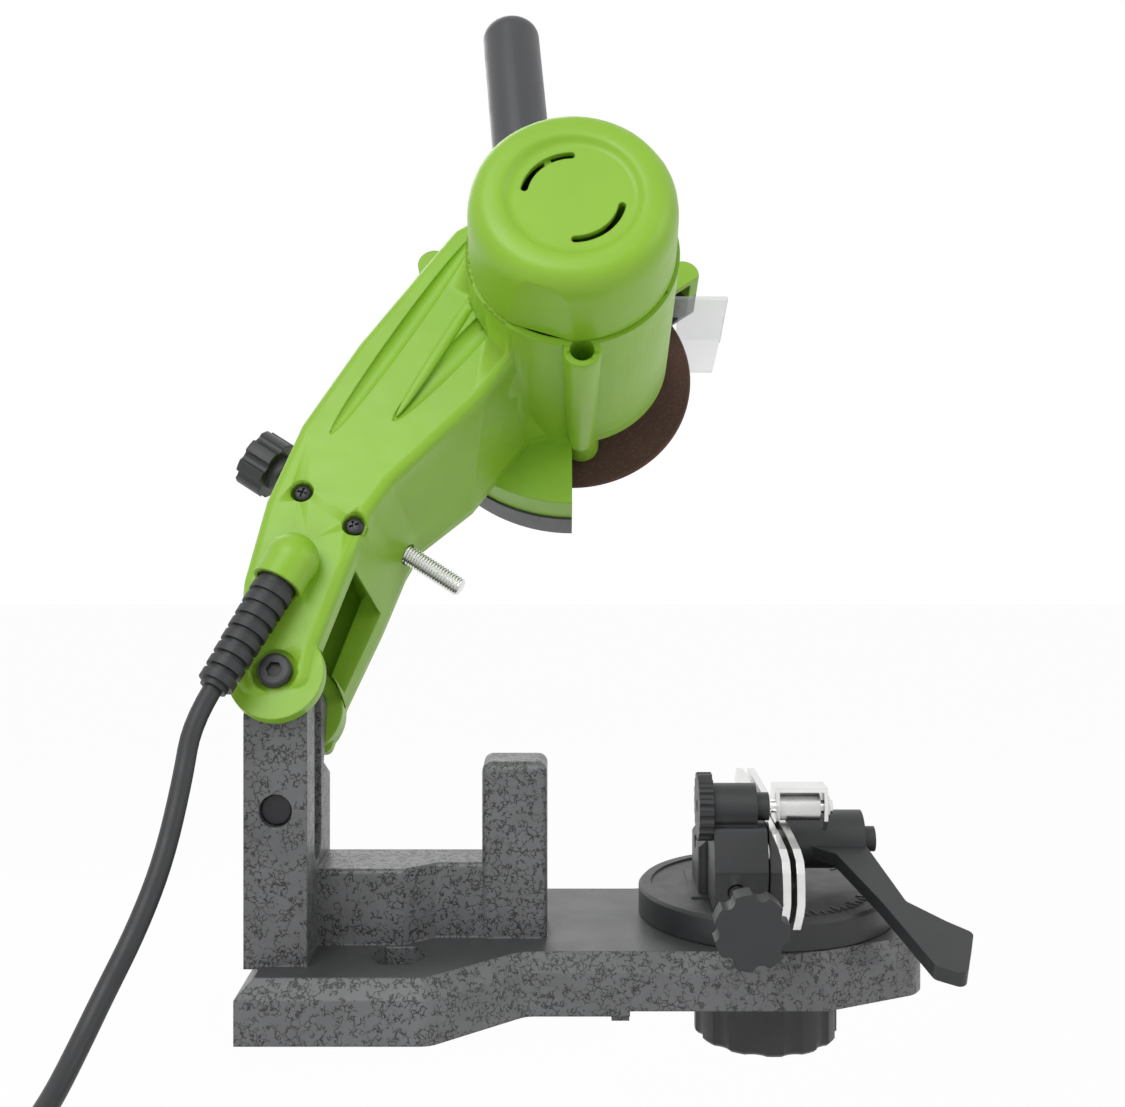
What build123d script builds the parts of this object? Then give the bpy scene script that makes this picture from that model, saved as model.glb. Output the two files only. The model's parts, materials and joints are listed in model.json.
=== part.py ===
from build123d import *
import os
from math import cos, pi, radians, sin, sqrt, tan

# Bench-mounted electric sharpener for saw chain, millimetres.
# Origin: midway between the two bench bolts, on the face that lies on the bench.
# X runs along the bench edge to the turntable, Y away from the operator, Z up.

os.makedirs("parts", exist_ok=True)

# ---------------------------------------------------------------- driving sizes

run_gap = 0.3            # between faces that move past each other
fit_gap = 0.05           # radial, pin or shaft in its bore
seat_gap = 0.1           # radial, fixed piece in its seat

# base casting
base_left = -54.4
base_front = -62.5       # front face of the bench half
base_back = 58.0
waist_start = 14.0       # the front face swings back from here
waist_end = 47.0
plate_top = 22.0
base_wall = 6.0
base_web = 8.0           # plate over the hollow underside
base_rib = 4.0
base_bevel = 6.0
overhang_lift = 1.9      # underside of the overhanging half
lug_x = 78.7             # the lug that hooks the bench edge
lug_wide = 6.6
lug_drop = 3.8
bolt_y = 33.0            # bench bolts at plus and minus this
bolt_hole = 13.0
bolt_flats = 19.4
bolt_pocket = 13.0

# turntable and lock knob
table_x = 142.3
table_y = 21.3
table_r = 51.1
table_thick = 11.0
table_margin = 4.6       # plate around the turntable
stud_d = 10.0
knob_r = 28.5
knob_high = 28.0

# head: everything turns about axes leaning 25 degrees
lean = 25.0
pivot_x = -43.1
pivot_y = -44.5
pivot_z = 128.2          # on the front face of the near ear
pin_d = 8.0
ear_r = 17.5
ear_thick = 6.0
post_width = 23.0
post_front = -45.0
post_back = 8.0
post_slot = 16.0         # slot for the return spring
post_slot_y = -29.0
post_slot_foot = 62.0

# arm
arm_long = 194.8         # pivot to spindle
arm_rest = 56.5          # above the horizontal
shell_wall = 2.6
seam_depth = 57.0        # where near and far shells meet
shell_front = 2.0        # near face stands proud of the ear
barrel_r = 42.0          # motor housing
barrel_front = 25.0
cover_r = 40.5
cover_long = 40.0
guard_depth = 62.0
guard_r = 70.0

# grinding wheel
wheel_r = 54.0
wheel_thick = 3.2
wheel_bore = 23.0
wheel_depth = 82.0       # mid-plane behind the near ear
shaft_d = 8.0

# depth bolt
bolt_p = 75.8
bolt_depth = 49.0
depth_d = 8.0
depth_tip = -24.7
depth_knob_q = 75.0

# vise
rail_front = -59.5
rail_back = 91.5
rail_low = 36.0
rail_top = 66.3
rail_left = 137.9
rail_thick = 2.9
chain_slot = 2.1
clamp_z = 51.1
clamp_d = 8.0
stop_y = -11.8
stop_z = 72.0
star_x = 125.7
star_z = 42.5
star_d = 6.0
stop_in = 2.5            # the chain stop can move this far away from the operator

# cord
cord_d = 7.0
coil_r = 50.8
coil_pitch = 7.6
coil_turns = 3
coil_x = -62.0
coil_y = -222.0

# ---------------------------------------------------------------- frames

axis_dir = Vector(0, -cos(radians(lean)), sin(radians(lean)))   # towards the operator
up_dir = Vector(0, sin(radians(lean)), cos(radians(lean)))
pivot = Vector(pivot_x, pivot_y, pivot_z)
arm_dir = Vector(cos(radians(arm_rest)), 0, 0) + up_dir * sin(radians(arm_rest))
arm_frame = Plane(origin=pivot, x_dir=arm_dir, z_dir=axis_dir)


def arm_plane(depth, p=0.0, q=0.0):
    """Plane across the arm at a depth behind the near ear, centred at (p, q)."""
    return Plane(origin=arm_frame.from_local_coords((p, q, -depth)), x_dir=arm_dir, z_dir=axis_dir)


def park_plane(depth, x=0.0, s=0.0):
    """The same plane, turned level for the parked arm, centred at the spindle."""
    centre = arm_frame.from_local_coords((arm_long, 0, -depth)) + Vector(x, 0, 0) + up_dir * s
    return Plane(origin=centre, x_dir=(1, 0, 0), z_dir=axis_dir)


def post_plane(depth):
    """Plane across the pivot at a depth, with its x axis level."""
    return Plane(origin=pivot - axis_dir * depth, x_dir=(1, 0, 0), z_dir=axis_dir)


def cross_plane(p, q, depth):
    """Plane square to the arm's q direction, for the depth bolt."""
    up = arm_frame.y_dir
    return Plane(origin=arm_frame.from_local_coords((p, q, -depth)), x_dir=arm_dir, z_dir=up)


def x_plane(x, y, z):
    """Plane facing +X, with Y to its right."""
    return Plane(origin=(x, y, z), x_dir=(0, 1, 0), z_dir=(1, 0, 0))


def y_plane(x, y, z):
    """Plane facing -Y, with X to its right."""
    return Plane(origin=(x, y, z), x_dir=(1, 0, 0), z_dir=(0, -1, 0))


def table_plane(z):
    """Level plane on the turntable's axis."""
    return Plane(origin=(table_x, table_y, z))


def write(part, label):
    part.label = label
    export_step(part, f"parts/{label}.step")


# ---------------------------------------------------------------- base casting

table_half = table_r + table_margin
end_x = table_x + table_half
end_front = table_y - table_half
end_back = table_y + table_half

with BuildSketch(Plane.XY) as base_plan:
    with BuildLine():
        Polyline(
            (base_left, base_front),
            (waist_start, base_front),
            (waist_end, end_front),
            (end_x - 40, end_front),
            (end_x - 4, end_front + 17),
            (end_x, end_front + 24),
            (end_x, end_back - 24),
            (end_x - 24, end_back),
            (table_x - 26, end_back),
            (table_x - 50, base_back),
            (base_left, base_back),
            close=True,
        )
    make_face()
    waist = base_plan.vertices().filter_by(lambda v: v.X > base_left + 1)
    fillet(waist, 9)

with BuildSketch(Plane.XY) as base_hollow:
    add(base_plan.sketch)
    offset(amount=-base_wall, mode=Mode.REPLACE)
    with Locations((0, bolt_y), (0, -bolt_y)):
        Circle(16, mode=Mode.SUBTRACT)
    with Locations((table_x, table_y)):
        Circle(knob_r + 2, mode=Mode.SUBTRACT)
    with Locations((lug_x + lug_wide / 2, 0)):
        Rectangle(lug_wide + 8, 200, mode=Mode.SUBTRACT)
    # cross ribs, between the bolts and around the turntable's stud
    with Locations((pivot_x + 12, 0), (0, 0), (34, 0)):
        Rectangle(base_rib, 200, mode=Mode.SUBTRACT)
    with Locations((0, 0), (0, bolt_y), (0, -bolt_y)):
        Rectangle(2 * lug_x, base_rib, mode=Mode.SUBTRACT)
    for turn in (0, 45, 90, 135):
        with Locations((table_x, table_y)):
            Rectangle(2 * table_half + 40, base_rib, rotation=turn, mode=Mode.SUBTRACT)

with BuildSketch(Plane.YZ.offset(pivot_x - post_width / 2)) as post_side:
    near = pivot - axis_dir * (ear_thick + run_gap)
    far = pivot - axis_dir * (seam_depth - ear_thick - run_gap)
    crown = up_dir * (post_width / 2)
    heel = (post_front - near.Y) / up_dir.Y
    notch = -(ear_r + 3.2)
    with BuildLine():
        Polyline(
            (post_front, plate_top - 1),
            (post_back, plate_top - 1),
            (post_back, far.Z + notch * up_dir.Z - 7),
            (far.Y + notch * up_dir.Y, far.Z + notch * up_dir.Z),
            (far.Y + crown.Y, far.Z + crown.Z),
            (near.Y + crown.Y, near.Z + crown.Z),
            (post_front, near.Z + heel * up_dir.Z),
            close=True,
        )
    make_face()

with BuildPart() as post:
    extrude(post_side.sketch, amount=post_width)
    with BuildSketch(post_plane(-20)):
        Circle(post_width / 2)
        with Locations((0, -80)):
            Rectangle(post_width, 160)
    extrude(amount=-160, mode=Mode.INTERSECT)

wall_front = -21.5
wall_step = -12.5
wall_back = 9.0
wall_top = 50.5
upright_left = 29.7
upright_right = 54.5
upright_front = -13.5
upright_top = 89.0
inner_x = pivot_x + post_width / 2
spring_screw_z = 78.0
spring_screw_d = 5.0
spring_screw_sunk = 5.0

with BuildPart() as base_casting:
    extrude(base_plan.sketch, amount=plate_top)
    rim = base_casting.faces().sort_by(Axis.Z)[-1].edges()
    chamfer(rim, base_bevel)
    extrude(base_hollow.sketch, amount=plate_top - base_web, mode=Mode.SUBTRACT)
    with BuildSketch(Plane.XY):
        with Locations((lug_x + lug_wide + 100, 0)):
            Rectangle(200, 300)
    extrude(amount=overhang_lift, mode=Mode.SUBTRACT)
    with BuildSketch(Plane.XY.offset(-lug_drop)):
        with Locations((lug_x + lug_wide / 2, (end_front + base_back) / 2)):
            Rectangle(lug_wide, base_back - end_front - 2 * base_bevel)
    extrude(amount=lug_drop + overhang_lift + 1)
    # wall between the post and the upright, stepped in plan
    with BuildSketch(Plane.XY.offset(plate_top - 1)):
        with BuildLine():
            Polyline(
                (inner_x - 2, wall_front),
                (0, wall_front),
                (12, wall_step),
                (upright_left + 3, wall_step),
                (upright_left + 3, wall_back),
                (inner_x - 2, wall_back),
                close=True,
            )
        make_face()
    extrude(amount=wall_top - plate_top + 1)
    wall_rim = base_casting.faces().filter_by(Axis.Z).sort_by(Axis.Z)[-1].edges()
    fillet(wall_rim.filter_by(Axis.X), 2)
    # upright that the depth bolt lands on
    with BuildSketch(Plane.XY.offset(plate_top - 1)):
        with Locations(((upright_left + upright_right) / 2, (upright_front + wall_back) / 2)):
            RectangleRounded(upright_right - upright_left, wall_back - upright_front, 2.2)
    extrude(amount=upright_top - plate_top + 1)
    crown_face = base_casting.faces().filter_by(Axis.Z).sort_by(Axis.Z)[-1]
    fillet(crown_face.edges().filter_by(Axis.Y), 3.8)
    add(post.part)
    # slot for the return spring, round at its foot
    slot_mid = post_slot_y + post_slot / 2
    with BuildSketch(x_plane(pivot_x - post_width / 2 - 1, slot_mid, 0)):
        with Locations((0, post_slot_foot + 50)):
            Rectangle(post_slot, 100)
        with Locations((0, post_slot_foot)):
            Circle(post_slot / 2)
    extrude(amount=post_width + 2, mode=Mode.SUBTRACT)
    # pivot bore
    with BuildSketch(post_plane(-10)):
        Circle(pin_d / 2 + fit_gap)
    extrude(amount=-80, mode=Mode.SUBTRACT)
    # recess and thread for the screw that holds the spring's leg
    with BuildSketch(y_plane(pivot_x, post_front, spring_screw_z)):
        Circle(6)
    extrude(amount=-spring_screw_sunk, mode=Mode.SUBTRACT)
    with BuildSketch(y_plane(pivot_x, post_front, spring_screw_z)):
        Circle(spring_screw_d / 2 + seat_gap)
    extrude(amount=-(post_slot_y - post_front) - 1, mode=Mode.SUBTRACT)
    # bench bolts: clearance holes with sunk hexagons
    with BuildSketch(Plane.XY):
        with Locations((0, bolt_y), (0, -bolt_y)):
            Circle(bolt_hole / 2)
    extrude(amount=plate_top, mode=Mode.SUBTRACT)
    with BuildSketch(Plane.XY.offset(plate_top)):
        with Locations((0, bolt_y), (0, -bolt_y)):
            RegularPolygon(bolt_flats / 2, 6, major_radius=False)
    extrude(amount=-bolt_pocket, mode=Mode.SUBTRACT)
    # bore for the turntable's stud
    with BuildSketch(Plane.XY):
        with Locations((table_x, table_y)):
            Circle(stud_d / 2 + fit_gap)
    extrude(amount=plate_top, mode=Mode.SUBTRACT)
write(base_casting.part, "base_casting")


def disc(plane, outer, thick, inner=0.0, mode=Mode.ADD):
    """Round disc or ring, thick along the plane's normal."""
    with BuildSketch(plane) as ring:
        Circle(outer)
        if inner:
            Circle(inner, mode=Mode.SUBTRACT)
    extrude(ring.sketch, amount=thick, mode=mode)


# ---------------------------------------------------------------- pivot

pin_front = -1.0
pin_back = guard_depth + run_gap
cap_r = 6.2
washer_thick = 1.2

with BuildPart() as pivot_pin:
    disc(arm_plane(pin_front), pin_d / 2, -(pin_back + 8.0 - pin_front))
    chamfer(pivot_pin.edges().sort_by(Axis(pivot, axis_dir))[0], 0.8)
write(pivot_pin.part, "pivot_pin")

with BuildPart() as pivot_cap:
    disc(arm_plane(-run_gap), cap_r, 3.6)
    disc(arm_plane(-run_gap), pin_d / 2 + fit_gap, 0.8, mode=Mode.SUBTRACT)
    fillet(pivot_cap.edges().sort_by(Axis(pivot, axis_dir))[-1], 1.2)
    with BuildSketch(arm_plane(-run_gap - 3.6)):
        RegularPolygon(2.9, 6)
    extrude(amount=-2.4, mode=Mode.SUBTRACT)
write(pivot_cap.part, "pivot_cap")

with BuildPart() as pivot_washer:
    disc(arm_plane(pin_back), 8.0, -washer_thick, pin_d / 2 + fit_gap)
write(pivot_washer.part, "pivot_washer")

with BuildPart() as pivot_nut:
    with BuildSketch(arm_plane(pin_back + washer_thick + fit_gap)):
        RegularPolygon(6.5, 6, major_radius=False)
        Circle(pin_d / 2 + fit_gap, mode=Mode.SUBTRACT)
    extrude(amount=-5.0)
write(pivot_nut.part, "pivot_nut")

# ---------------------------------------------------------------- arm, near shell

near_line = [
    (-14, 2), (-12, 10), (21, 31.5), (51, 44.5), (84, 53), (125, 56),
    (arm_long - 29.8, 55.5), (arm_long - 4.8, 55), (arm_long + 21.2, 44), (arm_long + 30.2, 0),
    (arm_long - 22.8, -14), (arm_long - 37.8, 0), (131, 0.2), (83, 8.5), (69, 8.2), (49, 2.4),
    (16, -7), (2, -14),
]
far_line = [
    (-16, 0), (-13, 11), (20, 33), (51, 46.5), (84, 55), (125, 58),
    (arm_long - 29.8, 58.5), (arm_long - 4.8, 59), (arm_long + 27.2, 50), (arm_long + 37.2, 0),
    (arm_long - 24.8, -30), (arm_long - 44.8, -8), (109, -6.2), (83, 1.1), (69, -0.5), (45, -6.5),
    (13, -13), (-6, -19),
]
swing = 48.5             # travel of the arm, down from its park stop
room_r = post_width / 2 + 2.0
room_long = 60.0
park_turn = radians(-90 - arm_rest)
work_turn = radians(-90 - arm_rest + swing)
column_p = arm_long - 28.0    # boss under the motor
column_q = -23.5
column_front = -12.0
column_sunk = 10.0        # the boss's screw head lies this deep in it
column_r = 7.5
screw_p = 61.2
screw_q = (35.0, 10.5)
screw_d = 4.0
head_sunk = 3.6           # below the near face
head_r = 3.7
head_high = 2.4
socket_x = -17.5
socket_s = 37.5
handle_turn = 95.06
handle_depth = 50.0
handle_r = 13.5
handle_dir = Vector(cos(radians(handle_turn)), 0, 0) + up_dir * sin(radians(handle_turn))
handle_foot = arm_frame.from_local_coords((arm_long, 0, -handle_depth)) + Vector(socket_x, 0, 0)
handle_foot = handle_foot + up_dir * socket_s
handle_plane = Plane(origin=handle_foot, x_dir=axis_dir, z_dir=handle_dir)
socket_long = 14.0
barrel_inner = barrel_r - shell_wall - 0.4
stator_r = 28.0
stator_front = 2.0
stator_long = 36.0
depth_frame = cross_plane(bolt_p, 0, bolt_depth)
insert_q = 44.0
insert_r = 6.5

gland = Vector(-39.0, -34.8, 168.0)
gland_r = 10.0
relief_end = Vector(-61.4, -63.0, 125.0)
relief_dir = (relief_end - gland).normalized()
relief_plane = Plane(origin=gland + relief_dir * 2, z_dir=relief_dir)
relief_root = 7.4
relief_tip = 5.6
relief_ribs = 8

with BuildSketch(arm_plane(0)) as post_room:
    side_a = (room_r * cos(park_turn - pi / 2), room_r * sin(park_turn - pi / 2))
    side_b = (room_r * cos(work_turn + pi / 2), room_r * sin(work_turn + pi / 2))
    with BuildLine():
        Polyline(
            side_a,
            (side_a[0] + room_long * cos(park_turn), side_a[1] + room_long * sin(park_turn)),
            (side_b[0] + room_long * cos(work_turn), side_b[1] + room_long * sin(work_turn)),
            side_b,
            close=True,
        )
    make_face()
    Circle(room_r)

with BuildPart() as arm_block:
    with BuildSketch(arm_plane(-shell_front)) as near_face:
        with BuildLine():
            Polyline(*near_line, close=True)
        make_face()
        fillet(near_face.vertices(), 6)
    extrude(amount=-seam_depth - shell_front)
    front = arm_block.faces().sort_by(Axis(pivot, axis_dir))[-1]
    fillet(front.edges(), 4.5)
    # the flank widens towards the seam
    with BuildSketch(arm_plane(8)):
        with BuildLine():
            Polyline(*near_line, close=True)
        make_face()
    with BuildSketch(arm_plane(seam_depth)):
        with BuildLine():
            Polyline(*far_line, close=True)
        make_face()
    loft(ruled=True)

with BuildPart() as handle_socket:
    disc(handle_plane.offset(-8), handle_r + 3.0, socket_long + 8)

with BuildPart() as near_shell:
    add(arm_block.part)
    disc(arm_plane(0), ear_r, -seam_depth)
    disc(arm_plane(-barrel_front, arm_long), barrel_r, -(seam_depth + barrel_front))
    add(handle_socket.part)
    with Locations(gland):
        Sphere(gland_r)
    disc(relief_plane, gland_r - 0.4, 9.0)
    # hollow inside, open towards the far shell
    with BuildSketch(arm_plane(shell_wall)) as near_hollow:
        with BuildLine():
            Polyline(*near_line, close=True)
        make_face()
        offset(amount=-shell_wall - 0.6, mode=Mode.REPLACE)
    extrude(amount=-seam_depth, mode=Mode.SUBTRACT)
    disc(arm_plane(-barrel_front, arm_long), barrel_inner, -(seam_depth + barrel_front), mode=Mode.SUBTRACT)
    disc(arm_plane(column_front, column_p, column_q), column_r, -(seam_depth - column_front))
    # ribs that hold the stator
    with BuildSketch(arm_plane(stator_front, arm_long)):
        with PolarLocations((barrel_inner + stator_r + seat_gap) / 2 + 0.5, 6, start_angle=35):
            Rectangle(barrel_inner - stator_r - seat_gap + 1, 3)
    extrude(amount=-stator_long)
    disc(depth_frame.offset(36), 8.5, 16)
    # the post stands between the two ears
    disc(arm_plane(ear_thick), ear_r + run_gap, -seam_depth, mode=Mode.SUBTRACT)
    extrude(post_room.sketch.moved(Location(-axis_dir * ear_thick)), amount=-seam_depth, mode=Mode.SUBTRACT)
    disc(relief_plane, relief_root + seat_gap, 30.0, mode=Mode.SUBTRACT)
    disc(relief_plane.offset(-14), cord_d / 2 + 1, 20.0, mode=Mode.SUBTRACT)
    # bosses for the screws that close the shells
    for q in screw_q:
        disc(arm_plane(shell_wall, screw_p, q), 5.0, -(seam_depth - shell_wall))
    # everything stops at the seam
    with BuildSketch(arm_plane(seam_depth)):
        with Locations((100, 0)):
            Rectangle(500, 400)
    extrude(amount=-60, mode=Mode.SUBTRACT)
    for q in screw_q:
        near_end = arm_plane(-shell_front, screw_p, q)
        disc(near_end, head_r + 0.9, -head_sunk, mode=Mode.SUBTRACT)
        disc(near_end, screw_d / 2 + seat_gap, -(seam_depth + shell_front), mode=Mode.SUBTRACT)
    column_end = arm_plane(column_front, column_p, column_q)
    disc(column_end, head_r + 0.7, -column_sunk, mode=Mode.SUBTRACT)
    disc(column_end, screw_d / 2 + seat_gap, -100, mode=Mode.SUBTRACT)
    # window under the arm
    with BuildSketch(cross_plane(32, -14, 29)):
        Rectangle(34, 40)
    extrude(amount=26, mode=Mode.SUBTRACT)
    # ribs behind the window
    for step in range(5):
        with BuildSketch(arm_plane(shell_wall - 0.6)):
            with BuildLine():
                Line((19 + 6 * step, 14 + 2.2 * step), (40 + 4 * step, 35 + 1.2 * step))
            trace(line_width=1.6)
        extrude(amount=-26)
    # hole and seat for the depth bolt's insert
    disc(depth_frame.offset(-40), depth_d / 2 + 0.4, 120, mode=Mode.SUBTRACT)
    disc(depth_frame.offset(insert_q), insert_r + fit_gap, 20, mode=Mode.SUBTRACT)
    # pivot bore, with a sunk face round the cap
    disc(arm_plane(-8), 8.2, -8, mode=Mode.SUBTRACT)
    disc(arm_plane(0), pin_d / 2 + fit_gap, -seam_depth, mode=Mode.SUBTRACT)
    # bore for the handle's foot
    disc(handle_plane, handle_r + seat_gap, 40, mode=Mode.SUBTRACT)
write(near_shell.part, "near_shell")


# ---------------------------------------------------------------- arm, far shell with the wheel guard

hood_wall = 3.0
hood_long = 16.0          # from the guard's front to the split with the wheel cover
hood_start = -20.5        # the guard runs from here, round the top, to hood_end
hood_end = 213.5
bearing_r = 11.0
bearing_wide = 7.0
front_bearing = 66.0
back_bearing = -45.0
lug_places = ((63.4, -18.6), (5.7, 79.0))
switch_p = arm_long - 96.8   # power switch, on the side away from the operator
switch_q = 28.0
switch_long = 32.0
switch_wide = 16.0


def hood_sector(plane, reach):
    """Face that covers the closed side of the guard, seen from the operator."""
    with BuildSketch(plane) as sector:
        with BuildLine():
            Polyline(
                (0, 0),
                (reach * cos(radians(hood_start)), reach * sin(radians(hood_start))),
                (reach * 1.2 * cos(radians(40)), reach * 1.2 * sin(radians(40))),
                (reach * 1.2 * cos(radians(97)), reach * 1.2 * sin(radians(97))),
                (reach * 1.2 * cos(radians(155)), reach * 1.2 * sin(radians(155))),
                (reach * cos(radians(hood_end)), reach * sin(radians(hood_end))),
                close=True,
            )
        make_face()
    return sector.sketch


def lugs(plane, thick):
    """Ears that the wheel cover is screwed to, each with a neck to the rim."""
    with BuildSketch(plane) as outline:
        for p, q in lug_places:
            with Locations((p, q)):
                Circle(7.5)
            with BuildLine():
                Line((p, q), (p * 0.8, q * 0.8))
            trace(line_width=13)
    extrude(outline.sketch, amount=thick)


with BuildPart() as hood:
    disc(arm_plane(guard_depth, arm_long), guard_r, -hood_long)
    lugs(arm_plane(guard_depth, arm_long), -hood_long)
    disc(arm_plane(guard_depth + hood_wall, arm_long), guard_r - hood_wall, -hood_long, mode=Mode.SUBTRACT)
    closed_side = hood_sector(arm_plane(guard_depth - 1, arm_long), 120)
    extrude(closed_side, amount=-hood_long - 2, mode=Mode.INTERSECT)

with BuildPart() as far_shell:
    with BuildSketch(arm_plane(seam_depth)) as far_face:
        with BuildLine():
            Polyline(*far_line, close=True)
        make_face()
        fillet(far_face.vertices(), 3)
        Circle(ear_r)
        with Locations((arm_long, 0)):
            Circle(barrel_r)
    extrude(amount=-(guard_depth - seam_depth))
    disc(arm_plane(seam_depth, column_p, column_q), column_r, -20)
    disc(arm_plane(seam_depth - ear_thick), ear_r, -ear_thick)
    add(hood.part)
    add(handle_socket.part)
    with BuildSketch(arm_plane(seam_depth)):
        with Locations((100, 0)):
            Rectangle(500, 400)
        Circle(ear_r + 1, mode=Mode.SUBTRACT)
    extrude(amount=80, mode=Mode.SUBTRACT)
    # bearing seat and shaft hole
    seat_plane = arm_plane(seam_depth, arm_long)
    seat_deep = front_bearing - seam_depth
    disc(seat_plane, bearing_r + 3, -(seat_deep + 3))
    disc(seat_plane, bearing_r + fit_gap, -seat_deep, mode=Mode.SUBTRACT)
    disc(seat_plane, shaft_d / 2 + 1.5, -30, mode=Mode.SUBTRACT)
    for q in screw_q:
        disc(arm_plane(seam_depth, screw_p, q), screw_d / 2 + fit_gap, -3.5, mode=Mode.SUBTRACT)
    disc(arm_plane(seam_depth, column_p, column_q), screw_d / 2 + fit_gap, -15, mode=Mode.SUBTRACT)
    with BuildSketch(arm_plane(seam_depth, switch_p, switch_q)):
        Rectangle(switch_long - 4, switch_wide - 4)
    extrude(amount=-30, mode=Mode.SUBTRACT)
    disc(arm_plane(0), pin_d / 2 + fit_gap, -100, mode=Mode.SUBTRACT)
    disc(handle_plane, handle_r + seat_gap, 40, mode=Mode.SUBTRACT)
write(far_shell.part, "far_shell")

# ---------------------------------------------------------------- motor cover

dish_r = 26.0
cover_front = barrel_front + cover_long

with BuildPart() as motor_cover:
    disc(arm_plane(-barrel_front - run_gap, arm_long), cover_r, cover_long - run_gap)
    face_edge = motor_cover.edges().sort_by(Axis(pivot, axis_dir))[-1]
    fillet(face_edge, 7.5)
    # flat on the upper right and a bevel on the lower left
    with BuildSketch(park_plane(-barrel_front - 12)):
        with Locations(Rot(0, 0, 45)):
            with Locations((cover_r + 6.2, 0)):
                Rectangle(20, 90)
        with Locations(Rot(0, 0, 228)):
            with Locations((cover_r + 7.6, -14)):
                Rectangle(20, 50)
    extrude(amount=60, mode=Mode.SUBTRACT)
    # dished face with a flat centre
    disc(park_plane(-cover_front), dish_r, -1.2, mode=Mode.SUBTRACT)
    # hollow, with a thick rim and face
    hollow_r = cover_r - shell_wall - 3
    disc(park_plane(-barrel_front), hollow_r, cover_long - shell_wall - 2.4, mode=Mode.SUBTRACT)
    # bearing seat on three legs
    disc(park_plane(back_bearing), bearing_r + 2.5, cover_long - 25, bearing_r + fit_gap)
    with BuildSketch(park_plane(back_bearing)):
        with PolarLocations(24, 3):
            Rectangle(24, 3)
    extrude(amount=cover_long - 25)
write(motor_cover.part, "motor_cover")

# ---------------------------------------------------------------- handle

handle_long = 139.0
handle_seat = 3.0

with BuildPart() as handle_grip:
    disc(handle_plane.offset(handle_seat), handle_r, handle_long - handle_seat)
    fillet(handle_grip.edges().sort_by(Axis(handle_foot, handle_dir))[-1], 8.5)
    disc(handle_plane.offset(handle_seat), 4.0 + seat_gap, 90, mode=Mode.SUBTRACT)
write(handle_grip.part, "handle_grip")

with BuildPart() as handle_stud:
    disc(handle_plane.offset(handle_seat + 1), 4.0, 80)
write(handle_stud.part, "handle_stud")

# ---------------------------------------------------------------- motor

stator_bore = 17.3
core_r = 16.8
core_long = 32.0
commutator_r = 12.0

with BuildPart() as stator:
    disc(arm_plane(stator_front, arm_long), stator_r, -stator_long, stator_bore)
    with BuildSketch(arm_plane(stator_front, arm_long)):
        with PolarLocations(stator_r, 2):
            Rectangle(5, 14)
    extrude(amount=-stator_long, mode=Mode.SUBTRACT)
write(stator.part, "stator")

shaft_front = -cover_front + 12.0
shaft_back = 99.0

with BuildPart() as armature_shaft:
    disc(park_plane(shaft_front), shaft_d / 2, -(shaft_back - shaft_front))
write(armature_shaft.part, "armature_shaft")

with BuildPart() as armature_core:
    disc(park_plane(4), core_r, -core_long, shaft_d / 2 + fit_gap)
    with BuildSketch(park_plane(4)):
        with PolarLocations(core_r - 3, 12):
            Rectangle(7, 3.2)
    extrude(amount=-core_long, mode=Mode.SUBTRACT)
write(armature_core.part, "armature_core")

with BuildPart() as armature_winding:
    with BuildSketch(park_plane(1)):
        with PolarLocations(core_r - 3.3, 12):
            Rectangle(5.6, 2.6)
    extrude(amount=-core_long - 6)
    disc(park_plane(3.7), core_r - 1, 6, 9)
    disc(park_plane(4.3 + core_long), core_r - 1, -6, 9)
write(armature_winding.part, "armature_winding")

with BuildPart() as commutator:
    disc(park_plane(-5), commutator_r, 15, shaft_d / 2 + fit_gap)
    with BuildSketch(park_plane(-5)):
        with PolarLocations(commutator_r - 0.2, 24):
            Rectangle(1.4, 0.5)
    extrude(amount=15, mode=Mode.SUBTRACT)
write(commutator.part, "commutator")

with BuildPart() as cooling_fan:
    disc(park_plane(46), 9, -8, shaft_d / 2 + fit_gap)
    disc(park_plane(46), 28, -1.6, 8.5)
    with BuildSketch(park_plane(47)):
        with PolarLocations(18, 14):
            Rectangle(18, 1.4, rotation=20)
    extrude(amount=-7)
write(cooling_fan.part, "cooling_fan")

for label, front in (("front_bearing", front_bearing - fit_gap), ("rear_bearing", back_bearing)):
    with BuildPart() as bearing:
        disc(park_plane(front), bearing_r, bearing_wide, bearing_r - 2)
        disc(park_plane(front), shaft_d / 2 + 2, bearing_wide, shaft_d / 2 + fit_gap)
        disc(park_plane(front - 0.8), bearing_r - 1.9, bearing_wide - 1.6, shaft_d / 2 + 1.9)
    write(bearing.part, label)

brush_depth = -12.5
brush_wide = 6.4


def brush_plane(side, reach):
    """Plane across a brush, reach from the shaft's axis, on the +1 or -1 side."""
    level_out = Plane(origin=park_plane(brush_depth).origin, x_dir=axis_dir, z_dir=(side, 0, 0))
    return level_out.offset(reach)


with BuildPart() as brush_holders:
    for side in (1, -1):
        with BuildSketch(brush_plane(side, commutator_r + 2)):
            Rectangle(brush_wide + 2.6, brush_wide + 2.6)
            Rectangle(brush_wide + 2 * seat_gap, brush_wide + 2 * seat_gap, mode=Mode.SUBTRACT)
        extrude(amount=19)
write(brush_holders.part, "brush_holders")

with BuildPart() as carbon_brushes:
    for side in (1, -1):
        with BuildSketch(brush_plane(side, commutator_r + run_gap)):
            Rectangle(brush_wide, brush_wide)
        extrude(amount=14)
write(carbon_brushes.part, "carbon_brushes")

# ---------------------------------------------------------------- wheel on its arbor

wheel_front = wheel_depth - wheel_thick / 2
wheel_back = wheel_depth + wheel_thick / 2
flange_r = 17.0

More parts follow.
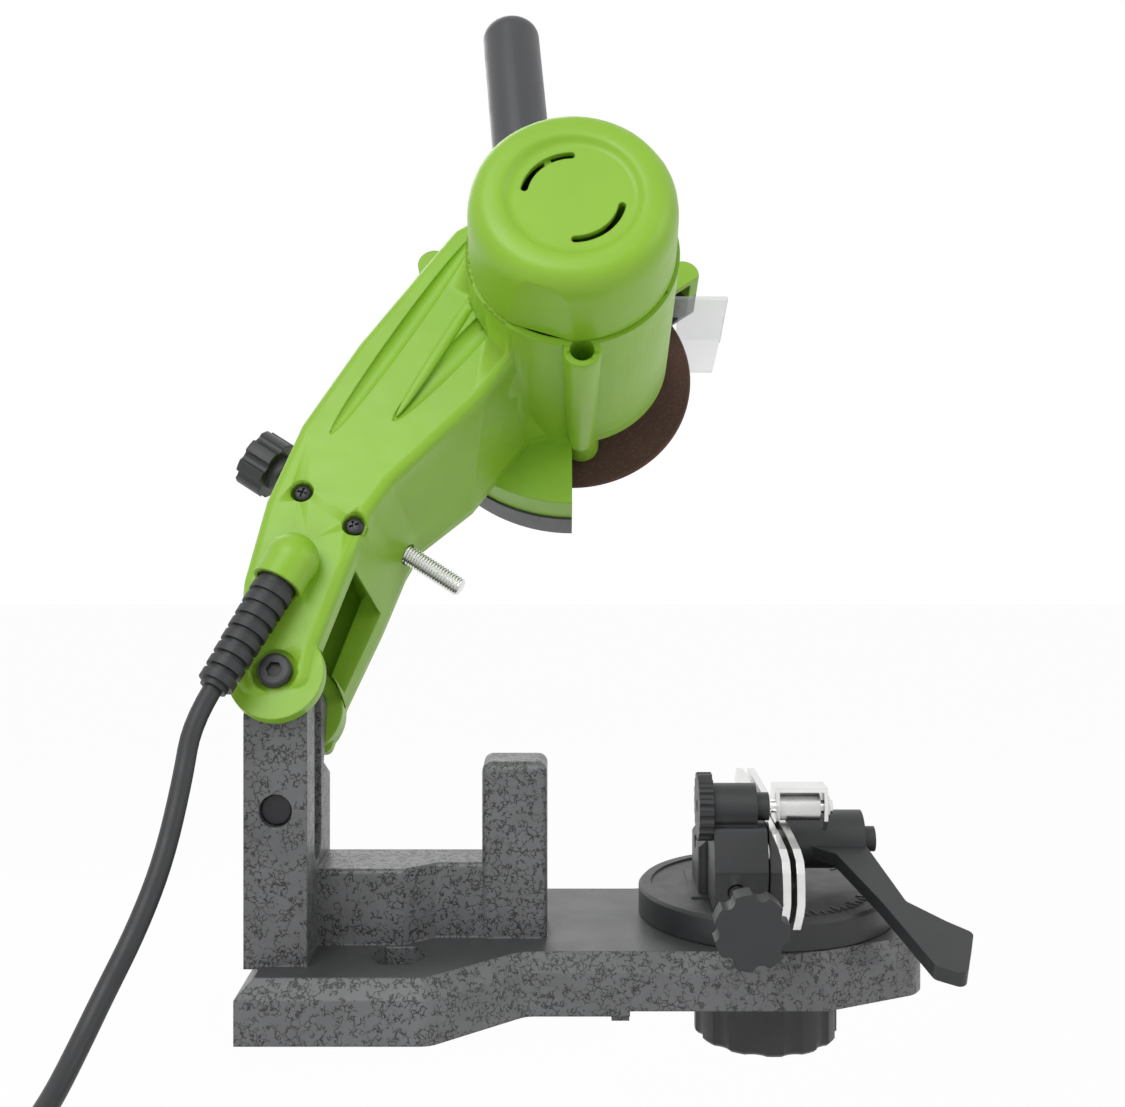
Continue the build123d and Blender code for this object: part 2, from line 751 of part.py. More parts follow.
with BuildPart() as inner_flange:
    disc(park_plane(wheel_front), flange_r, 4, shaft_d / 2 + fit_gap)
    disc(park_plane(wheel_front - 4), 7, 5.5, shaft_d / 2 + fit_gap)
    disc(park_plane(wheel_back - 0.4), wheel_bore / 2 - seat_gap, wheel_thick, shaft_d / 2 + fit_gap)
write(inner_flange.part, "inner_flange")

with BuildPart() as grinding_wheel:
    disc(park_plane(wheel_front), wheel_r, -wheel_thick, wheel_bore / 2)
    chamfer(grinding_wheel.edges().sort_by(SortBy.LENGTH)[-2:], 0.8)
write(grinding_wheel.part, "grinding_wheel")

with BuildPart() as outer_flange:
    disc(park_plane(wheel_back), flange_r, -3, shaft_d / 2 + fit_gap)
    chamfer(outer_flange.edges().sort_by(SortBy.LENGTH)[-1], 0.8)
write(outer_flange.part, "outer_flange")

with BuildPart() as arbor_nut:
    with BuildSketch(park_plane(wheel_back + 3)):
        RegularPolygon(6.5, 6, major_radius=False)
        Circle(shaft_d / 2 + fit_gap, mode=Mode.SUBTRACT)
    extrude(amount=-6.5)
write(arbor_nut.part, "arbor_nut")

# ---------------------------------------------------------------- wheel cover and visor

cover_split = guard_depth + hood_long + 0.1
cover_back = 94.0
cover_outer = 71.0

with BuildPart() as wheel_cover:
    split_plane = arm_plane(cover_split, arm_long)
    cover_deep = cover_back - cover_split
    disc(split_plane, cover_outer, -cover_deep)
    lugs(split_plane, -cover_deep)
    disc(split_plane, guard_r - hood_wall, -(cover_deep - 2.5), mode=Mode.SUBTRACT)
    disc(split_plane, flange_r + 4, -40, mode=Mode.SUBTRACT)
    extrude(hood_sector(arm_plane(cover_split - 1, arm_long), 120), amount=-30, mode=Mode.INTERSECT)
write(wheel_cover.part, "wheel_cover")

with BuildPart() as cover_screws:
    for p, q in lug_places:
        disc(arm_plane(cover_back, arm_long + p, q), 3.6, -2.2)
write(cover_screws.part, "cover_screws")

visor_s = 28.5
visor_thick = 2.0

with BuildPart() as visor:
    with BuildSketch(Plane(origin=park_plane(62, 0, visor_s).origin, x_dir=(1, 0, 0), z_dir=up_dir)):
        # y runs away from the operator
        with BuildLine():
            Polyline(
                (43.5, -2), (70.5, -2), (70.5, 38), (49, 38), (49, 14), (33, 14), (33, 3.1), (43.5, 3.1),
                close=True,
            )
        make_face()
    extrude(amount=visor_thick)
    with BuildSketch(park_plane(guard_depth + hood_wall + 0.1, 0, visor_s)):
        with Locations((39, 8)):
            Rectangle(12, 16)
    extrude(amount=-visor_thick)
    with BuildSketch(park_plane(100, 0, visor_s)):
        with BuildLine():
            Polyline((49, 2), (70.5, 2), (66, -16), (49, -16), close=True)
        make_face()
    extrude(amount=visor_thick)
write(visor.part, "visor")


# ---------------------------------------------------------------- depth bolt

with BuildPart() as depth_bolt:
    disc(depth_frame.offset(depth_tip), depth_d / 2, depth_knob_q - depth_tip - 3)
    chamfer(depth_bolt.edges().sort_by(Axis(depth_frame.origin, depth_frame.z_dir))[0], 1)
write(depth_bolt.part, "depth_bolt")


def lobed(plane, outer, count, lobe, thick):
    """Knob body with round lobes."""
    with BuildSketch(plane) as outline:
        Circle(outer - 0.35 * lobe)
        with PolarLocations(outer, count, start_angle=180 / count):
            Circle(lobe, mode=Mode.SUBTRACT)
    extrude(outline.sketch, amount=thick)


with BuildPart() as depth_knob:
    lobed(depth_frame.offset(depth_knob_q - 6), 13.6, 8, 2.6, 12)
    disc(depth_frame.offset(depth_knob_q - 10), 8.0, 5)
    disc(depth_frame.offset(depth_knob_q - 12), depth_d / 2 + fit_gap, 9.5, mode=Mode.SUBTRACT)
write(depth_knob.part, "depth_knob")

with BuildPart() as depth_insert:
    disc(depth_frame.offset(insert_q), insert_r, 7.0, depth_d / 2 + fit_gap)
write(depth_insert.part, "depth_insert")

# ---------------------------------------------------------------- screws

with BuildPart() as housing_screws:
    for q in screw_q:
        head_plane = arm_plane(head_sunk - shell_front, screw_p, q)
        disc(head_plane, head_r, head_high)
        disc(head_plane, screw_d / 2, -(seam_depth + 1.5))
    column_seat = arm_plane(column_front + column_sunk, column_p, column_q)
    disc(column_seat, head_r, head_high)
    disc(column_seat, screw_d / 2, -70)
write(housing_screws.part, "housing_screws")

with BuildPart() as spring_screw:
    head_seat = y_plane(pivot_x, post_front + spring_screw_sunk, spring_screw_z)
    disc(head_seat, 5.2, 2.6)
    disc(head_seat, spring_screw_d / 2, -(post_slot_y - post_front - spring_screw_sunk + 9))
write(spring_screw.part, "spring_screw")

# ---------------------------------------------------------------- cord

def biarc(start, start_dir, end, end_dir):
    """Two arcs that meet smoothly between two points with given directions."""
    chord = end - start
    both = start_dir + end_dir
    turn = 2 * (1 - start_dir.dot(end_dir))
    along = chord.dot(both)
    if turn < 1e-6:
        reach = chord.dot(chord) / (2 * along)
    else:
        reach = (sqrt(along ** 2 + turn * chord.dot(chord)) - along) / turn
    middle = (start + end + (start_dir - end_dir) * reach) / 2
    TangentArc(start, middle, tangent=start_dir)
    TangentArc(middle, end, tangent=end - end_dir * reach - middle)


cord_sides = 8
layer = cord_d + 0.6
coil_start = 150.0


def coil_point(turns):
    """Centre line of the coil: in along the upper layer, out along the lower."""
    angle = radians(coil_start + 360 * (turns + coil_turns))
    radius = coil_r - coil_pitch * (coil_turns - abs(turns))
    drop = min(max((turns + 0.25) / 0.5, 0), 1)
    height = cord_d / 2 + layer * (1 - drop * drop * (3 - 2 * drop))
    return Vector(coil_x + radius * cos(angle), coil_y + radius * sin(angle), height)


def coil_heading(turns):
    step = 1e-4
    low = max(turns - step, -coil_turns)
    high = min(turns + step, coil_turns)
    return (coil_point(high) - coil_point(low)).normalized()


level = Vector(cos(radians(coil_start + 90)), sin(radians(coil_start + 90)), 0)
coil_in = coil_point(-coil_turns) - level * cord_d
tail_long = 30.0
plug_height = 7.0
coil_out = coil_point(coil_turns)
tail_end = coil_out + level * tail_long + Vector(0, 0, plug_height - cord_d / 2)
plug_face = tail_end + level * cord_d

with BuildPart() as cord_coil:
    with BuildLine() as coil_path:
        Line(coil_in, coil_point(-coil_turns))
        for quarter in range(-4 * coil_turns, 4 * coil_turns):
            here = quarter / 4
            after = (quarter + 1) / 4
            first = level if quarter == -4 * coil_turns else coil_heading(here)
            last = level if quarter == 4 * coil_turns - 1 else coil_heading(after)
            biarc(coil_point(here), first, coil_point(after), last)
        biarc(coil_out, level, tail_end, level)
        Line(tail_end, plug_face)
    with BuildSketch(Plane(origin=coil_in, z_dir=level)) as coil_section:
        RegularPolygon(cord_d / 2, cord_sides)
    sweep()
write(cord_coil.part, "cord_coil")
coil_long = sum(edge.length for edge in coil_path.edges())
section = coil_section.sketch.area
coil_ratio = cord_coil.part.volume / (coil_long * section)
print("coil length", round(coil_long), "volume ratio", round(coil_ratio, 4))

samples = [coil_point(-coil_turns + 2 * coil_turns * n / 720) for n in range(721)]
least = min((samples[a] - samples[b]).length for a in range(721) for b in range(a + 40, 721))
print("coil gap to itself", round(least - cord_d, 2))

route = [
    relief_end,
    relief_end + relief_dir * 14,
    Vector(-66.6, -84.0, 98.0),
    Vector(-69.0, -99.0, 74.8),
    Vector(-74.0, -112.5, 56.5),
    Vector(-80.9, -124.0, 40.0),
    Vector(-85.7, -136.2, 26.7),
    Vector(-88.5, -152.5, 17.6),
    coil_in - level * 19,
    coil_in,
]
runs = [(b - a).length for a, b in zip(route, route[1:])]
turns = [(b - a).get_angle(c - b) for a, b, c in zip(route, route[1:], route[2:])]
radii = [
    0.45 * min(runs[n], runs[n + 1]) / tan(radians(turns[n] / 2))
    for n in range(len(turns))
]
print("cord radii", [round(r) for r in radii])

with BuildPart() as cord_lead:
    with BuildLine() as lead_path:
        FilletPolyline(*route, radius=radii)
    with BuildSketch(Plane(origin=relief_end, z_dir=relief_dir)):
        RegularPolygon(cord_d / 2, cord_sides)
    sweep()
write(cord_lead.part, "cord_lead")
lead_long = sum(edge.length for edge in lead_path.edges())
lead_ratio = cord_lead.part.volume / (lead_long * section)
print("lead length", round(lead_long), "volume ratio", round(lead_ratio, 4))

relief_long = (relief_end - relief_plane.origin).length

with BuildPart() as strain_relief:
    with BuildSketch(relief_plane.offset(1)):
        Circle(relief_root)
    with BuildSketch(relief_plane.offset(relief_long)):
        Circle(relief_tip - 0.6)
    loft()
    for rib in range(relief_ribs):
        place = 12 + rib * (relief_long - 13.5) / (relief_ribs - 0.3)
        width = relief_root + 0.9 - (relief_root - relief_tip) * place / relief_long
        disc(relief_plane.offset(place), width, 3.2)
    with BuildSketch(relief_plane):
        Circle(cord_d / 2 + fit_gap)
    extrude(amount=relief_long - 8, mode=Mode.SUBTRACT)
write(strain_relief.part, "strain_relief")

# ---------------------------------------------------------------- plug

plug_plane = Plane(origin=plug_face, x_dir=level.cross(Vector(0, 0, 1)), z_dir=level)
pin_pitch = 19.0

with BuildPart() as plug:
    with BuildSketch(plug_plane):
        RectangleRounded(10, 9, 4)
    with BuildSketch(plug_plane.offset(14)):
        RectangleRounded(18, 12, 5.4)
    with BuildSketch(plug_plane.offset(26)):
        RectangleRounded(33, 13.7, 6.2)
    loft()
    with BuildSketch(plug_plane.offset(26)):
        RectangleRounded(33, 13.7, 6.2)
    extrude(amount=10)
write(plug.part, "plug")

with BuildPart() as plug_pins:
    with BuildSketch(plug_plane.offset(36)):
        with Locations((pin_pitch / 2, 0), (-pin_pitch / 2, 0)):
            Circle(2)
    extrude(amount=19)
    tips = plug_pins.edges().sort_by(Axis(plug_face, level))[-2:]
    fillet(tips, 1.5)
write(plug_pins.part, "plug_pins")

# ---------------------------------------------------------------- return spring

wire_d = 1.8
wire_sides = 6
spring_r = 6.6
spring_turns = 4
spring_front = 21.2
spring_pitch = 2.0


def spring_point(turns):
    angle = 2 * pi * turns
    centre = post_plane(spring_front + spring_pitch * turns)
    return centre.from_local_coords((spring_r * cos(angle), spring_r * sin(angle), 0))


def spring_heading(turns):
    return (spring_point(turns + 1e-4) - spring_point(turns - 1e-4)).normalized()


with BuildPart() as return_spring:
    leg_side = spring_screw_d / 2 + wire_d / 2 + run_gap
    leg_foot = Vector(pivot_x + leg_side, post_slot_y + 4, spring_screw_z - 4)
    leg_bend = leg_foot + Vector(0, 0, 22)
    last_leg = spring_point(spring_turns) + spring_heading(spring_turns) * 20
    with BuildLine() as spring_path:
        Line(leg_foot, leg_bend)
        biarc(leg_bend, Vector(0, 0, 1), spring_point(0), spring_heading(0))
        for quarter in range(4 * spring_turns):
            here = quarter / 4
            after = (quarter + 1) / 4
            biarc(spring_point(here), spring_heading(here), spring_point(after), spring_heading(after))
        Line(spring_point(spring_turns), last_leg)
    with BuildSketch(Plane(origin=leg_foot, z_dir=(0, 0, 1))):
        RegularPolygon(wire_d / 2, wire_sides)
    sweep()
write(return_spring.part, "return_spring")


# ---------------------------------------------------------------- turntable

table_base = plate_top + run_gap
table_face = table_base + table_thick
rail_mid = rail_left + rail_thick
rail_right = rail_mid + chain_slot
rail_outer = rail_right + rail_thick
block_left = 114.0
block_front = 6.0
block_back = 38.0
block_top = 60.0
rail_screw_z = 50.0

with BuildPart() as turntable:
    disc(table_plane(table_base), table_r, table_thick)
    chamfer(turntable.edges().sort_by(Axis.Z)[-1], 1.2)
    # shallow dial floor inside a rim
    disc(table_plane(table_face), table_r - 5, -0.8, mode=Mode.SUBTRACT)
    # seat for the vise block
    with BuildSketch(Plane.XY.offset(table_face - 0.8)):
        with Locations(((block_left + rail_left) / 2 - 1, (block_front + block_back) / 2)):
            Rectangle(rail_left - block_left + 4, block_back - block_front + 8)
    extrude(amount=0.8)
    disc(table_plane(table_base), stud_d / 2 + fit_gap, table_thick, mode=Mode.SUBTRACT)
write(turntable.part, "turntable")

with BuildPart() as table_stud:
    disc(table_plane(-knob_high + 6), stud_d / 2, table_face + knob_high - 6.8)
write(table_stud.part, "table_stud")

with BuildPart() as vise_block:
    with BuildSketch(Plane.XY.offset(table_face)):
        with Locations(((block_left + rail_left) / 2, (block_front + block_back) / 2)):
            RectangleRounded(rail_left - block_left, block_back - block_front, 3)
    extrude(amount=block_top - table_face)
    with BuildSketch(y_plane((block_left + rail_left) / 2, block_front - 1, block_top)):
        with Locations((-12, 0)):
            RegularPolygon(9, 4, rotation=0)
    extrude(amount=-60, mode=Mode.SUBTRACT)
    disc(x_plane(block_left, table_y, clamp_z), clamp_d / 2 + fit_gap, 40, mode=Mode.SUBTRACT)
    for y in (block_front + 5, block_back - 5):
        disc(x_plane(block_left + 5, y, rail_screw_z), 2.5 + fit_gap, 30, mode=Mode.SUBTRACT)
    # threaded hole for the star screw
    disc(y_plane(star_x, block_front, star_z), star_d / 2 + fit_gap, -24, mode=Mode.SUBTRACT)
write(vise_block.part, "vise_block")


def rail_profile(x):
    """Side view of one rail, its near end drawn down to a blunt nose."""
    with BuildSketch(x_plane(x, 0, 0)) as side:
        with BuildLine():
            Polyline(
                (rail_front + 27.5, rail_top),
                (rail_front + 11, rail_top - 1),
                (rail_front + 3.4, rail_top - 3),
                (rail_front + 0.7, rail_top - 7),
                (rail_front, rail_top - 12),
                (rail_front, rail_top - 18),
                (rail_front + 3.4, rail_top - 23),
                (rail_front + 11, rail_low),
                (rail_back - 10, rail_low),
                (rail_back, rail_low + 8),
                (rail_back, rail_top - 6),
                (rail_back - 6, rail_top),
                close=True,
            )
        make_face()
        fillet(side.vertices(), 2)
    return side.sketch


with BuildPart() as fixed_rail:
    extrude(rail_profile(rail_left + fit_gap), amount=rail_thick - fit_gap)
    disc(x_plane(rail_left, table_y, clamp_z), clamp_d / 2 + fit_gap, rail_thick, mode=Mode.SUBTRACT)
    with BuildSketch(x_plane(rail_left, stop_y, 57)):
        SlotOverall(26, 5.2)
    extrude(amount=rail_thick, mode=Mode.SUBTRACT)
write(fixed_rail.part, "fixed_rail")

with BuildPart() as moving_rail:
    extrude(rail_profile(rail_right), amount=rail_thick)
    disc(x_plane(rail_right, table_y, clamp_z), clamp_d / 2 + run_gap, rail_thick, mode=Mode.SUBTRACT)
write(moving_rail.part, "moving_rail")

with BuildPart() as rail_screws:
    for y in (block_front + 5, block_back - 5):
        disc(x_plane(block_left + 6, y, rail_screw_z), 2.5, rail_left - block_left - 6)
write(rail_screws.part, "rail_screws")

# ---------------------------------------------------------------- clamp

hub_r = 11.5
hub_left = 150.0
hub_right = 181.0
lever_lean = 20.0

with BuildPart() as clamp_screw:
    disc(x_plane(block_left + 1, table_y, clamp_z), clamp_d / 2, 185 - block_left - 1)
write(clamp_screw.part, "clamp_screw")

lever_up = Vector(0, -sin(radians(lever_lean)), cos(radians(lever_lean)))
lever_plane = Plane(origin=(0, table_y, clamp_z), x_dir=(1, 0, 0), z_dir=lever_up)
rim_y = -table_r          # the blade drops only past the turntable's rim

with BuildPart() as clamp_lever:
    disc(x_plane(hub_left, table_y, clamp_z), hub_r, hub_right - hub_left)
    disc(x_plane(rail_outer + 0.8, table_y, clamp_z), 7.5, hub_left - rail_outer)
    with BuildSketch(lever_plane.offset(-2)) as blade:
        with BuildLine():
            Polyline(
                (150, 0), (150, -6), (168, -15.8), (180, rim_y + 5.1), (192, rim_y - 31.4),
                (202, rim_y - 36.4), (210, rim_y - 13.4), (201.5, rim_y - 6.6), (189.3, rim_y + 5.1),
                (181, -11), (181, 0),
                close=True,
            )
        make_face()
        fillet(blade.vertices().filter_by(lambda v: (v - Vector(160, table_y, clamp_z)).Y < -30), 3)
    extrude(amount=6)
    disc(x_plane(rail_outer, table_y, clamp_z), clamp_d / 2 + fit_gap, 60, mode=Mode.SUBTRACT)
write(clamp_lever.part, "clamp_lever")

with BuildPart() as lever_cap:
    disc(x_plane(hub_right + run_gap, table_y, clamp_z), 5.0, 5.0)
    disc(x_plane(hub_right, table_y, clamp_z), clamp_d / 2 + fit_gap, 4.1, mode=Mode.SUBTRACT)
write(lever_cap.part, "lever_cap")

# ---------------------------------------------------------------- chain stop

holder_front = -26.0
holder_back = 3.0
holder_left = 117.5
barrel_left = 117.7
barrel_right = 134.1
axle_d = 5.0

with BuildPart() as stop_holder:
    with BuildSketch(x_plane(holder_left, 0, 0)) as cheek:
        with BuildLine():
            Polyline(
                (holder_front + 8, 33.9 + 0.2), (holder_back, 34.1), (holder_back, 58),
                (stop_y + 9, 66), (stop_y - 9, 66), (holder_front, 50), (holder_front + 4, 36),
                close=True,
            )
        make_face()
        fillet(cheek.vertices(), 2)
    extrude(amount=rail_left - holder_left - run_gap)
    disc(x_plane(barrel_left, stop_y, stop_z), 8.8, barrel_right - barrel_left)
    disc(x_plane(barrel_right, stop_y, stop_z), stop_z - rail_top - 0.4, 5)
    with BuildSketch(x_plane(barrel_left, stop_y, 0)):
        with Locations((0, 67)):
            Rectangle(14, 12)
    extrude(amount=barrel_right - barrel_left)
    disc(x_plane(barrel_left - 1, stop_y, stop_z), axle_d / 2 + fit_gap, 30, mode=Mode.SUBTRACT)
    disc(y_plane(star_x, holder_front - 5, star_z), star_d / 2 + run_gap, -40, mode=Mode.SUBTRACT)
write(stop_holder.part, "stop_holder")

with BuildPart() as stop_dial:
    lobed(x_plane(111.9, stop_y, stop_z), 13.4, 18, 1.6, 5.5)
    disc(x_plane(111.9, stop_y, stop_z), axle_d / 2 + fit_gap, 6, mode=Mode.SUBTRACT)
write(stop_dial.part, "stop_dial")

bracket_left = rail_mid + run_gap
bracket_right = 160.9
bracket_wall = chain_slot - 2 * run_gap

with BuildPart() as stop_axle:
    disc(x_plane(112.4, stop_y, stop_z), axle_d / 2, bracket_right + 2.6 - 112.4)
write(stop_axle.part, "stop_axle")

with BuildPart() as stop_bracket:
    with BuildSketch(x_plane(bracket_left, stop_y, stop_z)) as leg:
        with BuildLine():
            Polyline(
                (-6.5, 8.2), (6.5, 8.2), (8, 2), (5.5, -6), (2, -8.6), (-3, -8.6), (-7, -4), (-8, 2),
                close=True,
            )
        make_face()
        fillet(leg.vertices(), 1.5)
    extrude(amount=bracket_right - bracket_left)
    with BuildSketch(y_plane((bracket_left + bracket_right) / 2, stop_y - 20, stop_z)):
        with Locations((0, -bracket_wall - 1.8)):
            Rectangle(bracket_right - bracket_left - 2 * bracket_wall, 20)
    extrude(amount=-40, mode=Mode.SUBTRACT)
    disc(x_plane(bracket_left - 1, stop_y, stop_z), axle_d / 2 + fit_gap, 30, mode=Mode.SUBTRACT)
write(stop_bracket.part, "stop_bracket")

with BuildPart() as stop_sleeve:
    disc(x_plane(bracket_left + bracket_wall + run_gap, stop_y, stop_z), 5.2, 15.6, axle_d / 2 + fit_gap)
write(stop_sleeve.part, "stop_sleeve")

with BuildPart() as axle_clip:
    disc(x_plane(bracket_right + run_gap, stop_y, stop_z), 4.2, 1.0, axle_d / 2 + fit_gap)
write(axle_clip.part, "axle_clip")

star_back = rail_front - stop_in - 2 * run_gap
star_hub = 6.0
star_grip = 7.0

with BuildPart() as star_screw:
    star_long = block_front + 14 - star_back + star_grip
    disc(y_plane(star_x, star_back - star_grip, star_z), star_d / 2, -star_long)
write(star_screw.part, "star_screw")

with BuildPart() as star_knob:
    lobed(y_plane(star_x, star_back, star_z), 14.4, 7, 3.2, 9.5)
    hub_plane = y_plane(star_x, star_back + star_hub, star_z)
    disc(hub_plane, 7.5, star_hub + 1)
    disc(hub_plane, star_d / 2 + fit_gap, star_hub + star_grip, mode=Mode.SUBTRACT)
write(star_knob.part, "star_knob")

# ---------------------------------------------------------------- lock knob

with BuildPart() as lock_knob:
    with BuildSketch(table_plane(overhang_lift - run_gap)) as grip:
        Circle(knob_r)
        with PolarLocations(knob_r + 5.5, 12, start_angle=15):
            Circle(7, mode=Mode.SUBTRACT)
    extrude(amount=-(knob_high + overhang_lift - 2))
    chamfer(lock_knob.faces().sort_by(Axis.Z)[0].edges(), 1.2)
    disc(table_plane(overhang_lift), stud_d / 2 + fit_gap, -knob_high + 4, mode=Mode.SUBTRACT)
write(lock_knob.part, "lock_knob")

# ---------------------------------------------------------------- power switch

rocker_long = 23.6
rocker_wide = 10.4

with BuildPart() as switch_frame:
    with BuildSketch(arm_plane(guard_depth, switch_p, switch_q)):
        RectangleRounded(switch_long, switch_wide, 2)
    extrude(amount=-2.5)
    with BuildSketch(arm_plane(guard_depth, switch_p, switch_q)):
        Rectangle(switch_long - 4.4, switch_wide - 4.4)
    extrude(amount=16)
    with BuildSketch(arm_plane(guard_depth - 2.5, switch_p, switch_q)):
        Rectangle(rocker_long + 2 * run_gap, rocker_wide + 2 * run_gap)
    extrude(amount=-6, mode=Mode.SUBTRACT)
write(switch_frame.part, "switch_frame")

with BuildPart() as switch_rocker:
    # two pads that meet in a shallow vee over the rocker's own axis
    with BuildSketch(cross_plane(switch_p, switch_q - rocker_wide / 2, guard_depth)):
        # y runs away from the operator
        with BuildLine():
            Polyline(
                (-rocker_long / 2, -0.5), (0, -1.8), (rocker_long / 2, -0.5),
                (rocker_long / 2, 5.0), (0, 3.6), (-rocker_long / 2, 5.0),
                close=True,
            )
        make_face()
    extrude(amount=rocker_wide)
write(switch_rocker.part, "switch_rocker")
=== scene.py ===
import json
import math

import bmesh
import bpy
from mathutils import Matrix, Vector


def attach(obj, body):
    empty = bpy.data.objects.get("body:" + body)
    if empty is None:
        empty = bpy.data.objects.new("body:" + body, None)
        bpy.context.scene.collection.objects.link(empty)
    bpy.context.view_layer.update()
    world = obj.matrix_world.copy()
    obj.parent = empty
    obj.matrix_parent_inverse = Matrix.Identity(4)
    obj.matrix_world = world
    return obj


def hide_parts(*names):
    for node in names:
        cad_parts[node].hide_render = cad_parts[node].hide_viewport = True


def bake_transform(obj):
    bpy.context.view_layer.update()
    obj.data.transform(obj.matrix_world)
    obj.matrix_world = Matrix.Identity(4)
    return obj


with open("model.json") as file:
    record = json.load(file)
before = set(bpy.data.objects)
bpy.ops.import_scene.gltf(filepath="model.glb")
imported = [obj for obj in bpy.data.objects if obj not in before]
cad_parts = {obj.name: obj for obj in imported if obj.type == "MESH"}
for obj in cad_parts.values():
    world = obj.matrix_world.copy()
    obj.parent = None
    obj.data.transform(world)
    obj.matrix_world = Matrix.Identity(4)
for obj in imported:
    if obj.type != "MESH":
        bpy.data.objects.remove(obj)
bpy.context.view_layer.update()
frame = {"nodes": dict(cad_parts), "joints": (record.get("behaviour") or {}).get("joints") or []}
nodes = frame["nodes"]
joints = {joint["name"]: joint for joint in frame["joints"]}
mm = 0.001
print("frame loaded with", len(nodes), "nodes")

# the head leans: its axis, the level line up its face and the line along the arm
headAxis = Vector(joints["wheel_spin"]["axis"]).normalized()
headUp = Vector((1, 0, 0)).cross(headAxis) * -1
pivotPoint = Vector(joints["arm_swing"]["pos_m"])
spindlePoint = Vector(joints["wheel_spin"]["pos_m"])
armSpan = spindlePoint - pivotPoint
armSpan -= headAxis * armSpan.dot(headAxis)
armAlong = armSpan.normalized()
armAcross = headAxis.cross(armAlong)
earAhead = 28.0  # mm, from the swing joint's point to the near ear's front face
earFace = pivotPoint + headAxis * earAhead * mm


def armPoint(along, across, depth):
    # a place on the arm in mm, depth behind the near ear
    return earFace + (armAlong * along + armAcross * across - headAxis * depth) * mm


def axisMatrix(origin, axis, side=None):
    # turns +Z to the axis and moves the origin
    zLine = Vector(axis).normalized()
    xLine = Vector(side).normalized() if side is not None else zLine.orthogonal().normalized()
    yLine = zLine.cross(xLine)
    turned = Matrix((xLine, yLine, zLine)).transposed().to_4x4()
    return Matrix.Translation(origin) @ turned


# the camera looks level along +Y, and its shift frames the picture
cameraSettings = {
    "place": (61.4, -589.5, 208.3),  # mm
    "focal": 1510.0,  # pixels
    "middle": (565.0, 450.0),  # where the view line meets the picture
    "picture": (1125.0, 1107.0),
    "sensor": 36.0,
    "clip": (0.01, 20.0),  # metres
}


def makeCamera():
    width, height = cameraSettings["picture"]
    data = bpy.data.cameras.new("viewCamera")
    data.sensor_width = cameraSettings["sensor"]
    data.lens = cameraSettings["sensor"] * cameraSettings["focal"] / width
    data.shift_x = (width / 2 - cameraSettings["middle"][0]) / width
    data.shift_y = (cameraSettings["middle"][1] - height / 2) / width
    data.clip_start, data.clip_end = cameraSettings["clip"]
    camera = bpy.data.objects.new("viewCamera", data)
    camera.location = Vector(cameraSettings["place"]) * mm
    camera.rotation_euler = (math.radians(90), 0, 0)
    bpy.context.scene.collection.objects.link(camera)
    bpy.context.scene.camera = camera


makeCamera()
print("camera made")


class Value:
    # an output socket that takes part in sums, so shader maths reads as Python
    def __init__(self, owner, socket):
        self.owner = owner
        self.socket = socket

    def combine(self, operation, first, second):
        return self.owner.node("ShaderNodeMath", {"operation": operation}, {0: first, 1: second})

    def __add__(self, other):
        return self.combine("ADD", self, other)

    def __radd__(self, other):
        return self.combine("ADD", other, self)

    def __sub__(self, other):
        return self.combine("SUBTRACT", self, other)

    def __rsub__(self, other):
        return self.combine("SUBTRACT", other, self)

    def __mul__(self, other):
        return self.combine("MULTIPLY", self, other)

    def __rmul__(self, other):
        return self.combine("MULTIPLY", other, self)


class ShaderTree:
    # makes every node of one material or of the world
    def __init__(self, tree):
        self.tree = tree

    def node(self, kind, settings, sockets, out=0):
        made = self.tree.nodes.new(kind)
        for key, value in settings.items():
            if key == "stops":
                self.setStops(made.color_ramp.elements, value)
            else:
                setattr(made, key, value)
        for key, value in sockets.items():
            if isinstance(value, Value):
                self.tree.links.new(value.socket, made.inputs[key])
            else:
                made.inputs[key].default_value = value
        return Value(self, made.outputs[out])

    def setStops(self, elements, pairs):
        while len(elements) < len(pairs):
            elements.new(0.5)
        for element, (position, level) in zip(elements, pairs):
            element.position = position
            element.color = (level, level, level, 1)

    def seen(self, operation):
        # joins the marks of what the camera sees, straight, in a mirror or through glass
        kinds = ("Is Camera Ray", "Is Glossy Ray", "Is Transmission Ray")
        total, *others = [self.node("ShaderNodeLightPath", {}, {}, kind) for kind in kinds]
        for ray in others:
            total = total.combine(operation, total, ray)
        return total


